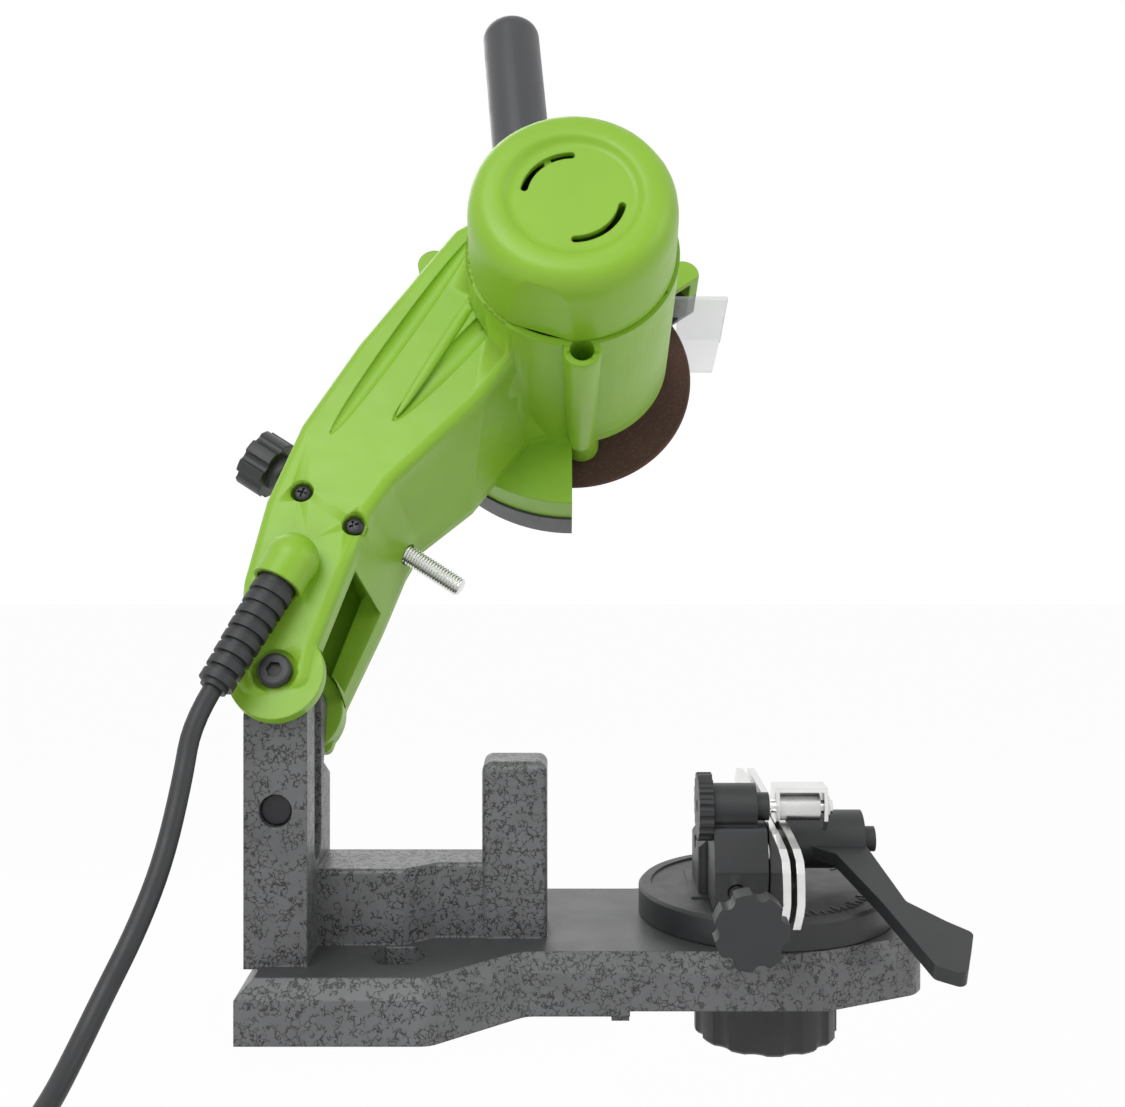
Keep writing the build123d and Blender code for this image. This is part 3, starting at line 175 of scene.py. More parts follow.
class Finish(ShaderTree):
    # one procedural material
    inputNames = {
        "colour": "Base Color", "rough": "Roughness", "metal": "Metallic", "normal": "Normal",
        "alpha": "Alpha", "gloss": "Specular IOR Level",
    }

    def __init__(self, name):
        self.material = bpy.data.materials.new(name)
        self.material.use_nodes = True
        super().__init__(self.material.node_tree)
        self.surface = self.tree.nodes["Principled BSDF"]

    def place(self):
        return self.node("ShaderNodeTexCoord", {}, {}, "Object")

    def noise(self, scale, detail, rough=0.5, vector=None, out=0):
        sockets = {"Scale": scale, "Detail": detail, "Roughness": rough, "Vector": vector or self.place()}
        return self.node("ShaderNodeTexNoise", {}, sockets, out)

    def stops(self, value, *pairs):
        # a grey ramp of (position, level) pairs
        return self.node("ShaderNodeValToRGB", {"stops": pairs}, {0: value})

    def mix(self, factor, first, second):
        first, second = (each if isinstance(each, Value) else (*each, 1) for each in (first, second))
        return self.node("ShaderNodeMix", {"data_type": "RGBA"}, {0: factor, 6: first, 7: second}, 2)

    def bump(self, height, strength, distance, normal=None):
        sockets = {"Height": height, "Strength": strength, "Distance": distance}
        if normal is not None:
            sockets["Normal"] = normal
        return self.node("ShaderNodeBump", {}, sockets)

    def rounded(self, radius):
        return self.node("ShaderNodeBevel", {"samples": 4}, {"Radius": radius})

    def surfaceSet(self, **values):
        for key, value in values.items():
            socket = self.surface.inputs[self.inputNames[key]]
            if isinstance(value, Value):
                self.tree.links.new(value.socket, socket)
            elif key == "colour":
                socket.default_value = (*value, 1)
            else:
                socket.default_value = value
        return self.material


# in every finish: scales are per metre, bump is a strength and a distance in metres

castPaint = {
    "grey": (0.128, 0.13, 0.134),
    "pale": 1.25,  # the mottle's light end, as a share of the grey
    "vein": (0.012, 0.012, 0.013),
    # painted shade: the darker grey given to the plate's upward faces
    "plate": (0.062, 0.063, 0.066),
    "cell": 390.0,  # veins about 2.6 mm apart
    "wander": 420.0,
    "wanderBy": 0.0052,  # metres
    "breaks": 300.0,
    "plateTop": (0.0222, 0.0228),  # metres up, plain below the first and veined above the second; the plain upward faces also take the painted shade
    "plateShare": 0.8,  # how much of the veins the plate's top loses
    "mottle": 60.0,
    "pits": 900.0,
    "relief": (0.8, 0.25),  # shares of the veins and the pits
    "edge": 1.1,  # mm
    "rough": (0.34, 0.44),
    "bump": (0.55, 0.00035),
    "gloss": 0.6,
}


def makeCastPaint():
    look = castPaint
    paint = Finish("hammeredCastPaint")
    place = paint.place()
    wander = paint.noise(look["wander"], 3.0, vector=place, out="Color")
    shift = paint.node("ShaderNodeVectorMath", {"operation": "SUBTRACT"}, {0: wander, 1: (0.5, 0.5, 0.5)})
    pushed = paint.node("ShaderNodeVectorMath", {"operation": "SCALE"}, {0: shift, "Scale": look["wanderBy"]})
    warped = paint.node("ShaderNodeVectorMath", {"operation": "ADD"}, {0: place, 1: pushed})
    cells = {"Vector": warped, "Scale": look["cell"], "Randomness": 1.0}
    veins = paint.node("ShaderNodeTexVoronoi", {"feature": "DISTANCE_TO_EDGE"}, cells)
    line = paint.stops(veins, (0.0, 1.0), (0.045, 0.9), (0.1, 0.0))
    broken = paint.stops(paint.noise(look["breaks"], 2.0), (0.43, 0.0), (0.5, 1.0))
    # the top of the plate is smooth, with only a faint mottle, and its upward faces are painted a darker grey
    # as painted shade
    normal = paint.node("ShaderNodeNewGeometry", {}, {}, "Normal")
    facing = paint.node("ShaderNodeSeparateXYZ", {}, {0: normal}, 2)
    height = paint.node("ShaderNodeSeparateXYZ", {}, {0: place}, 2)
    plain, veined = look["plateTop"]
    band = {"Value": height, "From Min": veined, "From Max": plain, "To Min": 0.0, "To Max": 1.0}
    low = paint.node("ShaderNodeMapRange", {}, band)
    flat = paint.stops(facing, (0.93, 0.0), (0.99, 1.0)) * low
    shown = line * broken * (1 - flat * look["plateShare"])
    mottle = paint.stops(paint.noise(look["mottle"], 4.0), (0.35, 0.0), (0.7, 1.0))
    body = paint.mix(mottle, look["grey"], tuple(c * look["pale"] for c in look["grey"]))
    # painted shade: the upward faces of the plate top take the darker grey
    body = paint.mix(flat, body, look["plate"])
    veinShare, pitShare = look["relief"]
    relief = (1 - shown) * veinShare + paint.noise(look["pits"], 2.0) * pitShare
    return paint.surfaceSet(
        colour=paint.mix(shown, body, look["vein"]),
        rough=paint.stops(mottle, (0.0, look["rough"][0]), (1.0, look["rough"][1])),
        normal=paint.bump(relief, *look["bump"], paint.rounded(look["edge"] * mm)),
        gloss=look["gloss"],
    )


plasticGrain = {
    "blotch": 28.0,  # patches of uneven colour
    "sheen": 120.0,  # patches of uneven gloss
    "uneven": 0.1,  # share that the roughness varies by
    "bump": (0.18, 0.00012),
    "gloss": 0.5,
}


def makePlastic(name, colour, rough, grain, edge, spread=0.06):
    # moulded plastic: a fine sparked grain, slightly uneven colour, soft edges
    look = plasticGrain
    plastic = Finish(name)
    blotch = plastic.stops(plastic.noise(look["blotch"], 3.0), (0.3, 0.0), (0.7, 1.0))
    darker = tuple(c * (1 - spread) for c in colour)
    lighter = tuple(min(1.0, c * (1 + spread)) for c in colour)
    sheen = plastic.noise(look["sheen"], 3.0)
    low, high = rough * (1 - look["uneven"]), rough * (1 + look["uneven"])
    return plastic.surfaceSet(
        colour=plastic.mix(blotch, darker, lighter),
        rough=plastic.stops(sheen, (0.3, low), (0.7, high)),
        normal=plastic.bump(plastic.noise(grain, 2.0), *look["bump"], plastic.rounded(edge * mm)),
        gloss=look["gloss"],
    )


metalMarks = {
    "scratch": 260.0,
    "tone": 45.0,
    "dark": 0.86,  # the tone's dark end, as a share of the colour
    "rough": (0.75, 1.3),  # shares of the roughness, between the marks and on them
    "bump": (0.12, 0.0001),
    "edge": 0.35,  # mm
}


def makeMetal(name, colour, rough, brush=(1, 1, 1), metal=1.0):
    # plated or turned metal, with fine marks that run one way where brush isn't even
    look = metalMarks
    plate = Finish(name)
    run = plate.node("ShaderNodeMapping", {}, {"Vector": plate.place(), "Scale": brush})
    marks = plate.noise(look["scratch"], 4.0, 0.6, run)
    tone = plate.stops(plate.noise(look["tone"], 3.0), (0.3, 0.0), (0.7, 1.0))
    low, high = (rough * share for share in look["rough"])
    return plate.surfaceSet(
        colour=plate.mix(tone, tuple(c * look["dark"] for c in colour), colour),
        metal=metal,
        rough=plate.stops(marks, (0.25, low), (0.75, high)),
        normal=plate.bump(marks, *look["bump"], plate.rounded(look["edge"] * mm)),
    )


abrasiveGrit = {
    "grains": 1500.0,
    "cloud": 35.0,
    "bond": ((0.07, 0.034, 0.024), (0.098, 0.048, 0.034)),
    "spark": (0.22, 0.13, 0.09),
    "sparkShare": 0.35,
    "rough": 0.82,
    "bump": (0.35, 0.0002),
}


def makeAbrasive():
    # bonded grit: dark grains and light sparks in a brown bond
    look = abrasiveGrit
    grit = Finish("bondedAbrasive")
    cells = {"Vector": grit.place(), "Scale": look["grains"]}
    grains = grit.node("ShaderNodeTexVoronoi", {"feature": "F1"}, cells, "Color")
    tone = grit.node("ShaderNodeSeparateXYZ", {}, {0: grains})
    spark = grit.stops(tone, (0.0, 0.0), (0.86, 0.15), (0.97, 1.0))
    cloud = grit.stops(grit.noise(look["cloud"], 4.0), (0.3, 0.0), (0.7, 1.0))
    bond = grit.mix(cloud, *look["bond"])
    colour = grit.mix(spark * look["sparkShare"], bond, look["spark"])
    return grit.surfaceSet(colour=colour, rough=look["rough"], normal=grit.bump(tone, *look["bump"]))


clearSheet = {
    "colour": (0.72, 0.74, 0.75),
    "haze": 90.0,
    "waves": 60.0,
    "blend": 0.4,
    "bump": (0.05, 0.0003),
    "gloss": 0.8,
}


def makeClear():
    # thin clear sheet: faint face on, whiter where it is seen edge on
    look = clearSheet
    clear = Finish("clearPolycarbonate")
    slant = clear.node("ShaderNodeLayerWeight", {}, {"Blend": look["blend"]}, "Facing")
    return clear.surfaceSet(
        colour=look["colour"],
        rough=clear.stops(clear.noise(look["haze"], 4.0), (0.35, 0.05), (0.75, 0.14)),
        alpha=clear.stops(slant, (0.0, 0.2), (0.6, 0.36), (1.0, 0.8)),
        normal=clear.bump(clear.noise(look["waves"], 2.0), *look["bump"]),
        gloss=look["gloss"],
    )


laminationStack = {
    "sheets": 2000.0,  # half a millimetre each
    "gap": (0.05, 0.05, 0.052),
    "steel": (0.32, 0.32, 0.33),
    "metal": 0.9,
    "rough": 0.42,
    "bump": (0.3, 0.0001),
}


def makeLamination():
    look = laminationStack
    stack = Finish("steelLaminations")
    run = stack.node("ShaderNodeVectorMath", {"operation": "DOT_PRODUCT"}, {0: stack.place(), 1: headAxis}, 1)
    sheets = stack.node("ShaderNodeMath", {"operation": "FRACT"}, {0: run * look["sheets"]})
    gap = stack.stops(sheets, (0.0, 0.0), (0.2, 1.0))
    return stack.surfaceSet(
        colour=stack.mix(gap, look["gap"], look["steel"]), metal=look["metal"], rough=look["rough"],
        normal=stack.bump(gap, *look["bump"]),
    )


plastics = {
    "green": dict(
        name="greenPlastic", colour=(0.28, 0.535, 0.03), rough=0.4, grain=1500.0, edge=0.9, spread=0.04,
    ),
    "black": dict(name="blackPlastic", colour=(0.026, 0.027, 0.029), rough=0.46, grain=1300.0, edge=0.6),
    "strip": dict(name="greyPlastic", colour=(0.06, 0.062, 0.068), rough=0.42, grain=1300.0, edge=0.6),
    "handle": dict(name="handlePlastic", colour=(0.06, 0.061, 0.066), rough=0.36, grain=1100.0, edge=0.6),
    "rubber": dict(name="cordRubber", colour=(0.022, 0.023, 0.025), rough=0.5, grain=800.0, edge=0.3),
    "red": dict(name="redPlastic", colour=(0.42, 0.02, 0.014), rough=0.3, grain=900.0, edge=0.4),
    "carbon": dict(name="carbonBlock", colour=(0.02, 0.02, 0.021), rough=0.62, grain=600.0, edge=0.2),
}

metals = {
    "steel": dict(name="zincSteel", colour=(0.66, 0.66, 0.65), rough=0.3, brush=(1, 0.15, 1)),
    "bright": dict(name="brightSteel", colour=(0.8, 0.8, 0.79), rough=0.2),
    "alloy": dict(name="castAlloy", colour=(0.5, 0.51, 0.52), rough=0.4),
    "blackSteel": dict(name="blackenedSteel", colour=(0.045, 0.045, 0.048), rough=0.38, metal=0.7),
    "copper": dict(name="copperWire", colour=(0.72, 0.34, 0.16), rough=0.32, brush=(1, 1, 0.2)),
    "brass": dict(name="turnedBrass", colour=(0.72, 0.55, 0.24), rough=0.28),
}

finishes = {"cast": makeCastPaint()}
finishes.update({key: makePlastic(**look) for key, look in plastics.items()})
finishes.update({key: makeMetal(**look) for key, look in metals.items()})
finishes.update({"abrasive": makeAbrasive(), "clear": makeClear(), "lamination": makeLamination()})

nodeFinish = {
    "cast": ["base_casting"],
    "green": ["near_shell", "far_shell", "motor_cover"],
    "strip": ["wheel_cover"],
    "black": [
        "depth_knob", "star_knob", "lock_knob", "stop_dial", "clamp_lever", "switch_frame", "brush_holders",
        "cooling_fan", "stop_holder", "turntable", "vise_block", "lever_cap", "pivot_cap",
    ],
    "handle": ["handle_grip"],
    "rubber": ["plug", "strain_relief"],
    "red": ["switch_rocker"],
    "carbon": ["carbon_brushes"],
    "steel": [
        "pivot_pin", "pivot_washer", "pivot_nut", "return_spring", "arbor_nut", "rail_screws", "clamp_screw",
        "axle_clip", "cover_screws", "handle_stud", "table_stud", "armature_shaft", "stop_sleeve",
    ],
    "bright": [
        "fixed_rail", "moving_rail", "stop_bracket", "star_screw", "stop_axle", "front_bearing",
        "rear_bearing",
    ],
    "alloy": ["outer_flange", "inner_flange"],
    "blackSteel": ["spring_screw"],
    "copper": ["armature_winding", "commutator"],
    "brass": ["depth_insert", "plug_pins"],
    "abrasive": ["grinding_wheel"],
    "clear": ["visor"],
    "lamination": ["stator", "armature_core"],
}

for finishName, members in nodeFinish.items():
    for member in members:
        nodes[member].data.materials.clear()
        nodes[member].data.materials.append(finishes[finishName])
print("finishes made:", len(finishes))


def addPiece(name, shape, finish, body, stoodFor=(), smooth=35):
    mesh = bpy.data.meshes.new(name)
    shape.to_mesh(mesh)
    shape.free()
    mesh.materials.append(finishes[finish])
    piece = bpy.data.objects.new(name, mesh)
    bpy.context.scene.collection.objects.link(piece)
    mesh.shade_smooth()
    mesh.set_sharp_from_angle(angle=math.radians(smooth))
    shade = piece.modifiers.new("evenShade", "WEIGHTED_NORMAL")  # flat faces stay flat beside their cuts
    shade.keep_sharp = True
    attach(piece, body)
    if stoodFor:
        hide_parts(*stoodFor)


def lathe(profile, matrix, steps):
    # spins an open profile of (radius, height) in mm about Z
    shape = bmesh.new()
    ring = [shape.verts.new((radius * mm, 0, height * mm)) for radius, height in profile]
    edges = [shape.edges.new(pair) for pair in zip(ring, ring[1:])]
    bmesh.ops.spin(
        shape, geom=ring + edges, cent=(0, 0, 0), axis=(0, 0, 1), angle=math.radians(360),
        steps=steps, use_merge=True,
    )
    bmesh.ops.remove_doubles(shape, verts=shape.verts, dist=1e-6)
    bmesh.ops.recalc_face_normals(shape, faces=shape.faces)
    bmesh.ops.transform(shape, matrix=matrix, verts=shape.verts)
    return shape


def joined(shapes):
    # several shapes in one mesh, each left whole
    whole = bmesh.new()
    for shape in shapes:
        mesh = bpy.data.meshes.new("part")
        shape.to_mesh(mesh)
        shape.free()
        whole.from_mesh(mesh)
        bpy.data.meshes.remove(mesh)
    return whole


def carved(shape, cutter, operation="DIFFERENCE"):
    # the shape with the cutter taken out of it, or joined to it
    pair = []
    for name, each in (("body", shape), ("cutter", cutter)):
        mesh = bpy.data.meshes.new(name)
        each.to_mesh(mesh)
        each.free()
        pair.append(bpy.data.objects.new(name, mesh))
        bpy.context.scene.collection.objects.link(pair[-1])
    cut = pair[0].modifiers.new("cut", "BOOLEAN")
    cut.object = pair[1]
    cut.operation = operation
    cut.solver = "EXACT"
    bpy.context.view_layer.update()
    result = bmesh.new()
    result.from_object(pair[0], bpy.context.evaluated_depsgraph_get())
    for each in pair:
        data = each.data
        bpy.data.objects.remove(each)
        bpy.data.meshes.remove(data)
    return result


def nodeShape(name):
    # a merged copy of a CAD node's mesh
    shape = bmesh.new()
    shape.from_mesh(nodes[name].data)
    bmesh.ops.remove_doubles(shape, verts=shape.verts, dist=1e-6)
    return shape


def lens(size, matrix):
    # long and smooth, for flutes and ridges
    shape = bmesh.new()
    bmesh.ops.create_uvsphere(shape, u_segments=48, v_segments=24, radius=1)
    bmesh.ops.scale(shape, vec=[each * mm for each in size], verts=shape.verts)
    bmesh.ops.transform(shape, matrix=matrix, verts=shape.verts)
    return shape


def block(size, matrix):
    shape = bmesh.new()
    bmesh.ops.create_cube(shape, size=1)
    bmesh.ops.scale(shape, vec=[each * mm for each in size], verts=shape.verts)
    bmesh.ops.transform(shape, matrix=matrix, verts=shape.verts)
    return shape


# the cord leaves its relief, comes down in front of the base and lies in a coil on the bench
cordSettings = {
    "across": 7.0,
    "length": 1.72,  # metres
    "relief": (-61.4, -63.0, 125.0),
    "gland": (-39.0, -34.8, 168.0),
    "lead": [
        (-66.6, -84.0, 98.0), (-69.0, -99.0, 74.8), (-74.0, -112.5, 56.5), (-80.9, -124.0, 40.0),
        (-85.7, -136.2, 26.7), (-88.5, -152.5, 17.6),
    ],
    "coilMiddle": (-62.0, -222.0),
    "coilRadius": 50.8,
    "pitch": 7.6,
    "turns": 3,
    "layer": 7.6,
    "climb": 0.5,  # of a turn, between the layers
    "startTurn": 150.0,
    "pointsPerTurn": 16,
    "straight": 14.0,  # out of the relief
    "runIn": 19.0,  # before the coil
    "runOut": 8.0,  # after the coil, and again before the tail's end
    "lift": (15.0, 1.7),  # how far along the tail, and how high there
    "tail": 30.0,
    "plugHeight": 7.0,
    "stepsPerPoint": 5,
    "roundSteps": 4,
}


def coilPlace(turns):
    # in along the upper layer, out along the lower
    c = cordSettings
    angle = math.radians(c["startTurn"] + 360 * (turns + c["turns"]))
    radius = c["coilRadius"] - c["pitch"] * (c["turns"] - abs(turns))
    drop = min(max(turns / c["climb"] + 0.5, 0), 1)
    height = c["across"] / 2 + c["layer"] * (1 - drop * drop * (3 - 2 * drop))
    middle = c["coilMiddle"]
    return Vector((middle[0] + radius * math.cos(angle), middle[1] + radius * math.sin(angle), height))


def cordPoints():
    c = cordSettings
    relief = Vector(c["relief"])
    leave = (relief - Vector(c["gland"])).normalized()
    heading = math.radians(c["startTurn"] + 90)
    level = Vector((math.cos(heading), math.sin(heading), 0))
    coilIn = coilPlace(-c["turns"]) - level * c["across"]
    points = [relief, relief + leave * c["straight"]] + [Vector(p) for p in c["lead"]]
    points += [coilIn - level * c["runIn"], coilIn]
    count = c["turns"] * c["pointsPerTurn"]
    points += [coilPlace(n / c["pointsPerTurn"]) for n in range(-count, count + 1)]
    coilOut = coilPlace(c["turns"])
    tailEnd = coilOut + level * c["tail"] + Vector((0, 0, c["plugHeight"] - c["across"] / 2))
    along, height = c["lift"]
    lifted = coilOut + level * along + Vector((0, 0, height))
    points += [coilOut + level * c["runOut"], lifted, tailEnd - level * c["runOut"]]
    points += [tailEnd, tailEnd + level * c["across"]]
    return [p * mm for p in points]


def cordCurve(points, bevel):
    data = bpy.data.curves.new("cordLine", "CURVE")
    data.dimensions = "3D"
    data.resolution_u = cordSettings["stepsPerPoint"]
    data.bevel_depth = bevel
    data.bevel_resolution = cordSettings["roundSteps"]
    data.use_fill_caps = bevel > 0
    spline = data.splines.new("NURBS")
    spline.points.add(len(points) - 1)
    for each, point in zip(spline.points, points):
        each.co = (*point, 1)
    spline.order_u = 3
    spline.use_endpoint_u = True
    holder = bpy.data.objects.new("cordLine", data)
    bpy.context.scene.collection.objects.link(holder)
    bpy.context.view_layer.update()
    mesh = bpy.data.meshes.new_from_object(holder.evaluated_get(bpy.context.evaluated_depsgraph_get()))
    bpy.data.objects.remove(holder)
    bpy.data.curves.remove(data)
    return mesh


def makeCord():
    points = cordPoints()
    across = cordSettings["across"] * mm
    line = cordCurve(points, 0)
    path = [vertex.co.copy() for vertex in line.vertices]
    length = sum((b - a).length for a, b in zip(path, path[1:]))
    mesh = cordCurve(points, across / 2)
    mesh.name = "mainsCord"
    mesh.materials.clear()
    mesh.materials.append(finishes["rubber"])
    mesh.shade_smooth()
    cord = bpy.data.objects.new("mains_cord", mesh)
    bpy.context.scene.collection.objects.link(cord)
    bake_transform(cord)
    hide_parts("cord_lead", "cord_coil")
    print("cord laid,", round(length, 3), "m")


makeCord()

# the near shell has two flutes and a ridge on the arm, and the screw column under the motor
shellForm = {
    "face": -2.0,  # mm behind the ear, the arm's front face
    "flutes": [
        {"middle": (138.0, 43.2), "size": (52.0, 3.6, 2.2), "turn": 3.1},
        {"middle": (146.0, 19.8), "size": (42.0, 4.6, 2.4), "turn": -5.2},
    ],
    "ridge": {"middle": (146.0, 27.2), "size": (40.0, 2.4, 1.1), "turn": 5.1},
    "motorAlong": 194.8,
    "seam": 57.0,
    "columnRight": 3.5,  # from the spindle
    "columnUp": -43.6,
    # radius and height from the seam
    "column": [(0, 0.4), (4.4, 0.4), (5.2, 2), (6.2, 30), (7.0, 60), (7.5, 80.6), (7.0, 81.8), (0, 81.8)],
    "around": 40,
    "hole": 4.7,
    "holeHeights": (64.0, 94.0),  # its floor, and past the column's end
}


def faceMatrix(mark):
    along, across = mark["middle"]
    stand = axisMatrix(armPoint(along, across, shellForm["face"]), headAxis, armAlong)
    return stand @ Matrix.Rotation(math.radians(mark["turn"]), 4, "Z")


def makeNearShell():
    form = shellForm
    shape = nodeShape("near_shell")
    for flute in form["flutes"]:
        shape = carved(shape, lens(flute["size"], faceMatrix(flute)))
    shape = carved(shape, lens(form["ridge"]["size"], faceMatrix(form["ridge"])), "UNION")
    foot = armPoint(form["motorAlong"], 0, form["seam"])
    foot = foot + Vector((form["columnRight"] * mm, 0, 0)) + headUp * form["columnUp"] * mm
    stand = axisMatrix(foot, headAxis, (1, 0, 0))
    shape = carved(shape, lathe(form["column"], stand, form["around"]), "UNION")
    low, high = form["holeHeights"]
    bore = [(0, low), (form["hole"], low), (form["hole"], high), (0, high)]
    shape = carved(shape, lathe(bore, stand, form["around"]))
    addPiece("near_shell_body", shape, "green", "arm", ["near_shell"], smooth=30)


makeNearShell()
print("near shell made")

# the motor cover has a rolled ring round a sunk face with two curved slots
coverForm = {
    "seam": -25.5,
    # radius and height from the seam: up the wall, over the rim, down to the sunk face, and back inside
    "wall": [
        (40.2, 0.0), (40.5, 0.5), (40.2, 14), (39.7, 27), (39.1, 31.4), (38.0, 34.6), (36.3, 37.1),
        (34.2, 38.7), (32.0, 39.3), (29.0, 39.4), (27.2, 39.3), (26.2, 39.0), (25.4, 38.4), (24.5, 37.6),
        (23.5, 37.1), (22.2, 36.9), (0, 36.9), (0, 34.3), (28, 34.3), (33.2, 32), (35.2, 27), (35.2, 0),
        (40.2, 0),
    ],
    "around": 120,
    "slotRadius": 18.5,
    "slotWide": 2.8,
    "slotStarts": (92, -88),
    "slotSweep": 76,
    "slotHeights": (32.0, 40.0),
    "slotSteps": 24,
    "slotEndAround": 20,
    "flats": [{"turn": 41, "away": 36.7, "low": 12.0}, {"turn": 252, "away": 38.5, "low": -1.0}],
    "flatCutter": (20.0, 90.0, 50.0),
    "bearing": [(11.05, 19.5), (13.5, 19.5), (13.5, 34.6), (11.05, 34.6), (11.05, 19.5)],
    "bearingAround": 48,
    "leg": (23.0, 3.0, 15.0),
    "legPlace": (24.0, 27.1),  # radius and height of its middle
    "legTurns": (0, 120, 240),
}


def arcCutter(form, start):
    # a curved bar with round ends
    half = form["slotWide"] / 2
    low, high = form["slotHeights"]
    radius = form["slotRadius"]
    bar = bmesh.new()
    corners = ((radius - half, low), (radius + half, low), (radius + half, high), (radius - half, high))
    ring = [bar.verts.new((across * mm, 0, height * mm)) for across, height in corners]
    face = bar.faces.new(ring)
    sweep = math.radians(form["slotSweep"])
    bmesh.ops.spin(
        bar, geom=[face] + face.edges[:] + ring, cent=(0, 0, 0), axis=(0, 0, 1), angle=sweep,
        steps=form["slotSteps"],
    )
    bmesh.ops.holes_fill(bar, edges=bar.edges)
    bmesh.ops.recalc_face_normals(bar, faces=bar.faces)
    turn = Matrix.Rotation(math.radians(start), 4, "Z")
    bmesh.ops.transform(bar, matrix=turn, verts=bar.verts)
    cutters = [bar]
    end = [(0, low), (half, low), (half, high), (0, high)]
    for angle in (0, form["slotSweep"]):
        spot = turn @ Matrix.Rotation(math.radians(angle), 4, "Z") @ Matrix.Translation((radius * mm, 0, 0))
        cutters.append(lathe(end, spot, form["slotEndAround"]))
    return cutters


def makeMotorCover():
    form = coverForm
    shape = lathe(form["wall"], Matrix.Identity(4), form["around"])
    for start in form["slotStarts"]:
        for slot in arcCutter(form, start):
            shape = carved(shape, slot)
    cutter = form["flatCutter"]
    for flat in form["flats"]:
        middle = (flat["away"] + cutter[0] / 2, 0, flat["low"] + cutter[2] / 2)
        spot = Matrix.Rotation(math.radians(flat["turn"]), 4, "Z") @ Matrix.Translation(Vector(middle) * mm)
        shape = carved(shape, block(cutter, spot))
    inside = [lathe(form["bearing"], Matrix.Identity(4), form["bearingAround"])]
    for turn in form["legTurns"]:
        spot = Matrix.Rotation(math.radians(turn), 4, "Z")
        spot = spot @ Matrix.Translation((form["legPlace"][0] * mm, 0, form["legPlace"][1] * mm))
        inside.append(block(form["leg"], spot))
    shape = joined([shape] + inside)
    stand = axisMatrix(armPoint(shellForm["motorAlong"], 0, form["seam"]), headAxis, (1, 0, 0))
    bmesh.ops.transform(shape, matrix=stand, verts=shape.verts)
    addPiece("motor_cover_body", shape, "green", "arm", ["motor_cover"], smooth=30)


makeMotorCover()
print("motor cover made")

# the visor is three clear plates with softened edges
visorForm = {
    "edge": 0.35,
    "sharp": 30,  # degrees between faces, past which an edge is softened
}


def makeVisor():
    shape = nodeShape("visor")
    sharp = math.radians(visorForm["sharp"])
    rims = [e for e in shape.edges if len(e.link_faces) == 2 and e.calc_face_angle() > sharp]
    bmesh.ops.bevel(
        shape, geom=rims, offset=visorForm["edge"] * mm, offset_type="OFFSET", segments=2, profile=0.5,
        affect="EDGES", material=-1,
    )
    addPiece("visor_sheet", shape, "clear", "arm", ["visor"])


makeVisor()
print("visor made")

# cross-head screws that close the shells
shellScrews = {
    # along, across, and depth of the seat
    "places": ((61.2, 35.0, 1.6), (61.2, 10.5, 1.6), (166.8, -23.5, -2.0)),
    "turns": (24, 62, 10),
    "head": 3.6,
    "high": 2.3,
    "shank": 2.0,
    "long": 40.0,
    "cross": 3.9,
    "blade": 0.85,
    "crossDeep": 2.4,  # half of it above the head
    "around": 40,
}


def crossScrew(settings, seat, axis, turn):
    head, high, shank = settings["head"], settings["high"], settings["shank"]
    profile = [
        (0, -settings["long"]), (shank, -settings["long"]), (shank, 0), (head, 0), (head, high * 0.45),
        (head * 0.9, high * 0.75), (head * 0.68, high * 0.94), (head * 0.35, high), (0, high),
    ]
    matrix = axisMatrix(seat, axis) @ Matrix.Rotation(math.radians(turn), 4, "Z")
    body = lathe(profile, matrix, settings["around"])
    cross = (settings["cross"], settings["blade"], settings["crossDeep"])
    for quarter in (0, 90):
        sunk = matrix @ Matrix.Translation((0, 0, high * mm)) @ Matrix.Rotation(math.radians(quarter), 4, "Z")
        body = carved(body, block(cross, sunk))
    return body


def makeShellScrews():
    screws = []
    for place, turn in zip(shellScrews["places"], shellScrews["turns"]):
        screws.append(crossScrew(shellScrews, armPoint(*place), headAxis, turn))
    addPiece("shell_screws", joined(screws), "blackSteel", "arm", ["housing_screws"])


makeShellScrews()

# the depth bolt is M8, threaded all along
depthThread = {
    "place": (75.8, 0, 49.0),  # along, across, depth
    "radius": 4.0,
    "deep": 0.68,
    "steep": 1.15,  # over 1 the root has a narrow flat
    "pitch": 1.25,
    "around": 28,
    "rows": 6,  # rings per turn of thread
    "tip": -24.7,
    "end": 72.0,
    "chamfer": 1.0,
}


def threadedRod(settings, origin, axis):
    shape = bmesh.new()
    low, high = settings["tip"], settings["end"]
    ringCount = int((high - low) / settings["pitch"] * settings["rows"])
    step = (high - low) / ringCount
    start = bmesh.ops.create_circle(
        shape, cap_ends=True, radius=settings["radius"] * mm, segments=settings["around"],
    )
    bmesh.ops.translate(shape, vec=(0, 0, low * mm), verts=start["verts"])
    edges = list(shape.faces[:][0].edges)
    for _ in range(ringCount):
        grown = bmesh.ops.extrude_edge_only(shape, edges=edges)
        edges = [e for e in grown["geom"] if isinstance(e, bmesh.types.BMEdge)]
        verts = [v for v in grown["geom"] if isinstance(v, bmesh.types.BMVert)]
        bmesh.ops.translate(shape, vec=(0, 0, step * mm), verts=verts)
    bmesh.ops.edgeloop_fill(shape, edges=edges)
    for vert in shape.verts:
        height = vert.co.z / mm
        turn = math.atan2(vert.co.y, vert.co.x) / (2 * math.pi)
        phase = (height / settings["pitch"] - turn) % 1
        depth = abs(phase * 2 - 1)
        radius = settings["radius"] - settings["deep"] * min(1.0, depth * settings["steep"])
        radius = min(radius, settings["radius"] - settings["chamfer"] + abs(height - low))
        away = math.hypot(vert.co.x, vert.co.y)
        vert.co.x *= radius * mm / away
        vert.co.y *= radius * mm / away
    bmesh.ops.recalc_face_normals(shape, faces=shape.faces)
    bmesh.ops.transform(shape, matrix=axisMatrix(origin, axis), verts=shape.verts)
    return shape


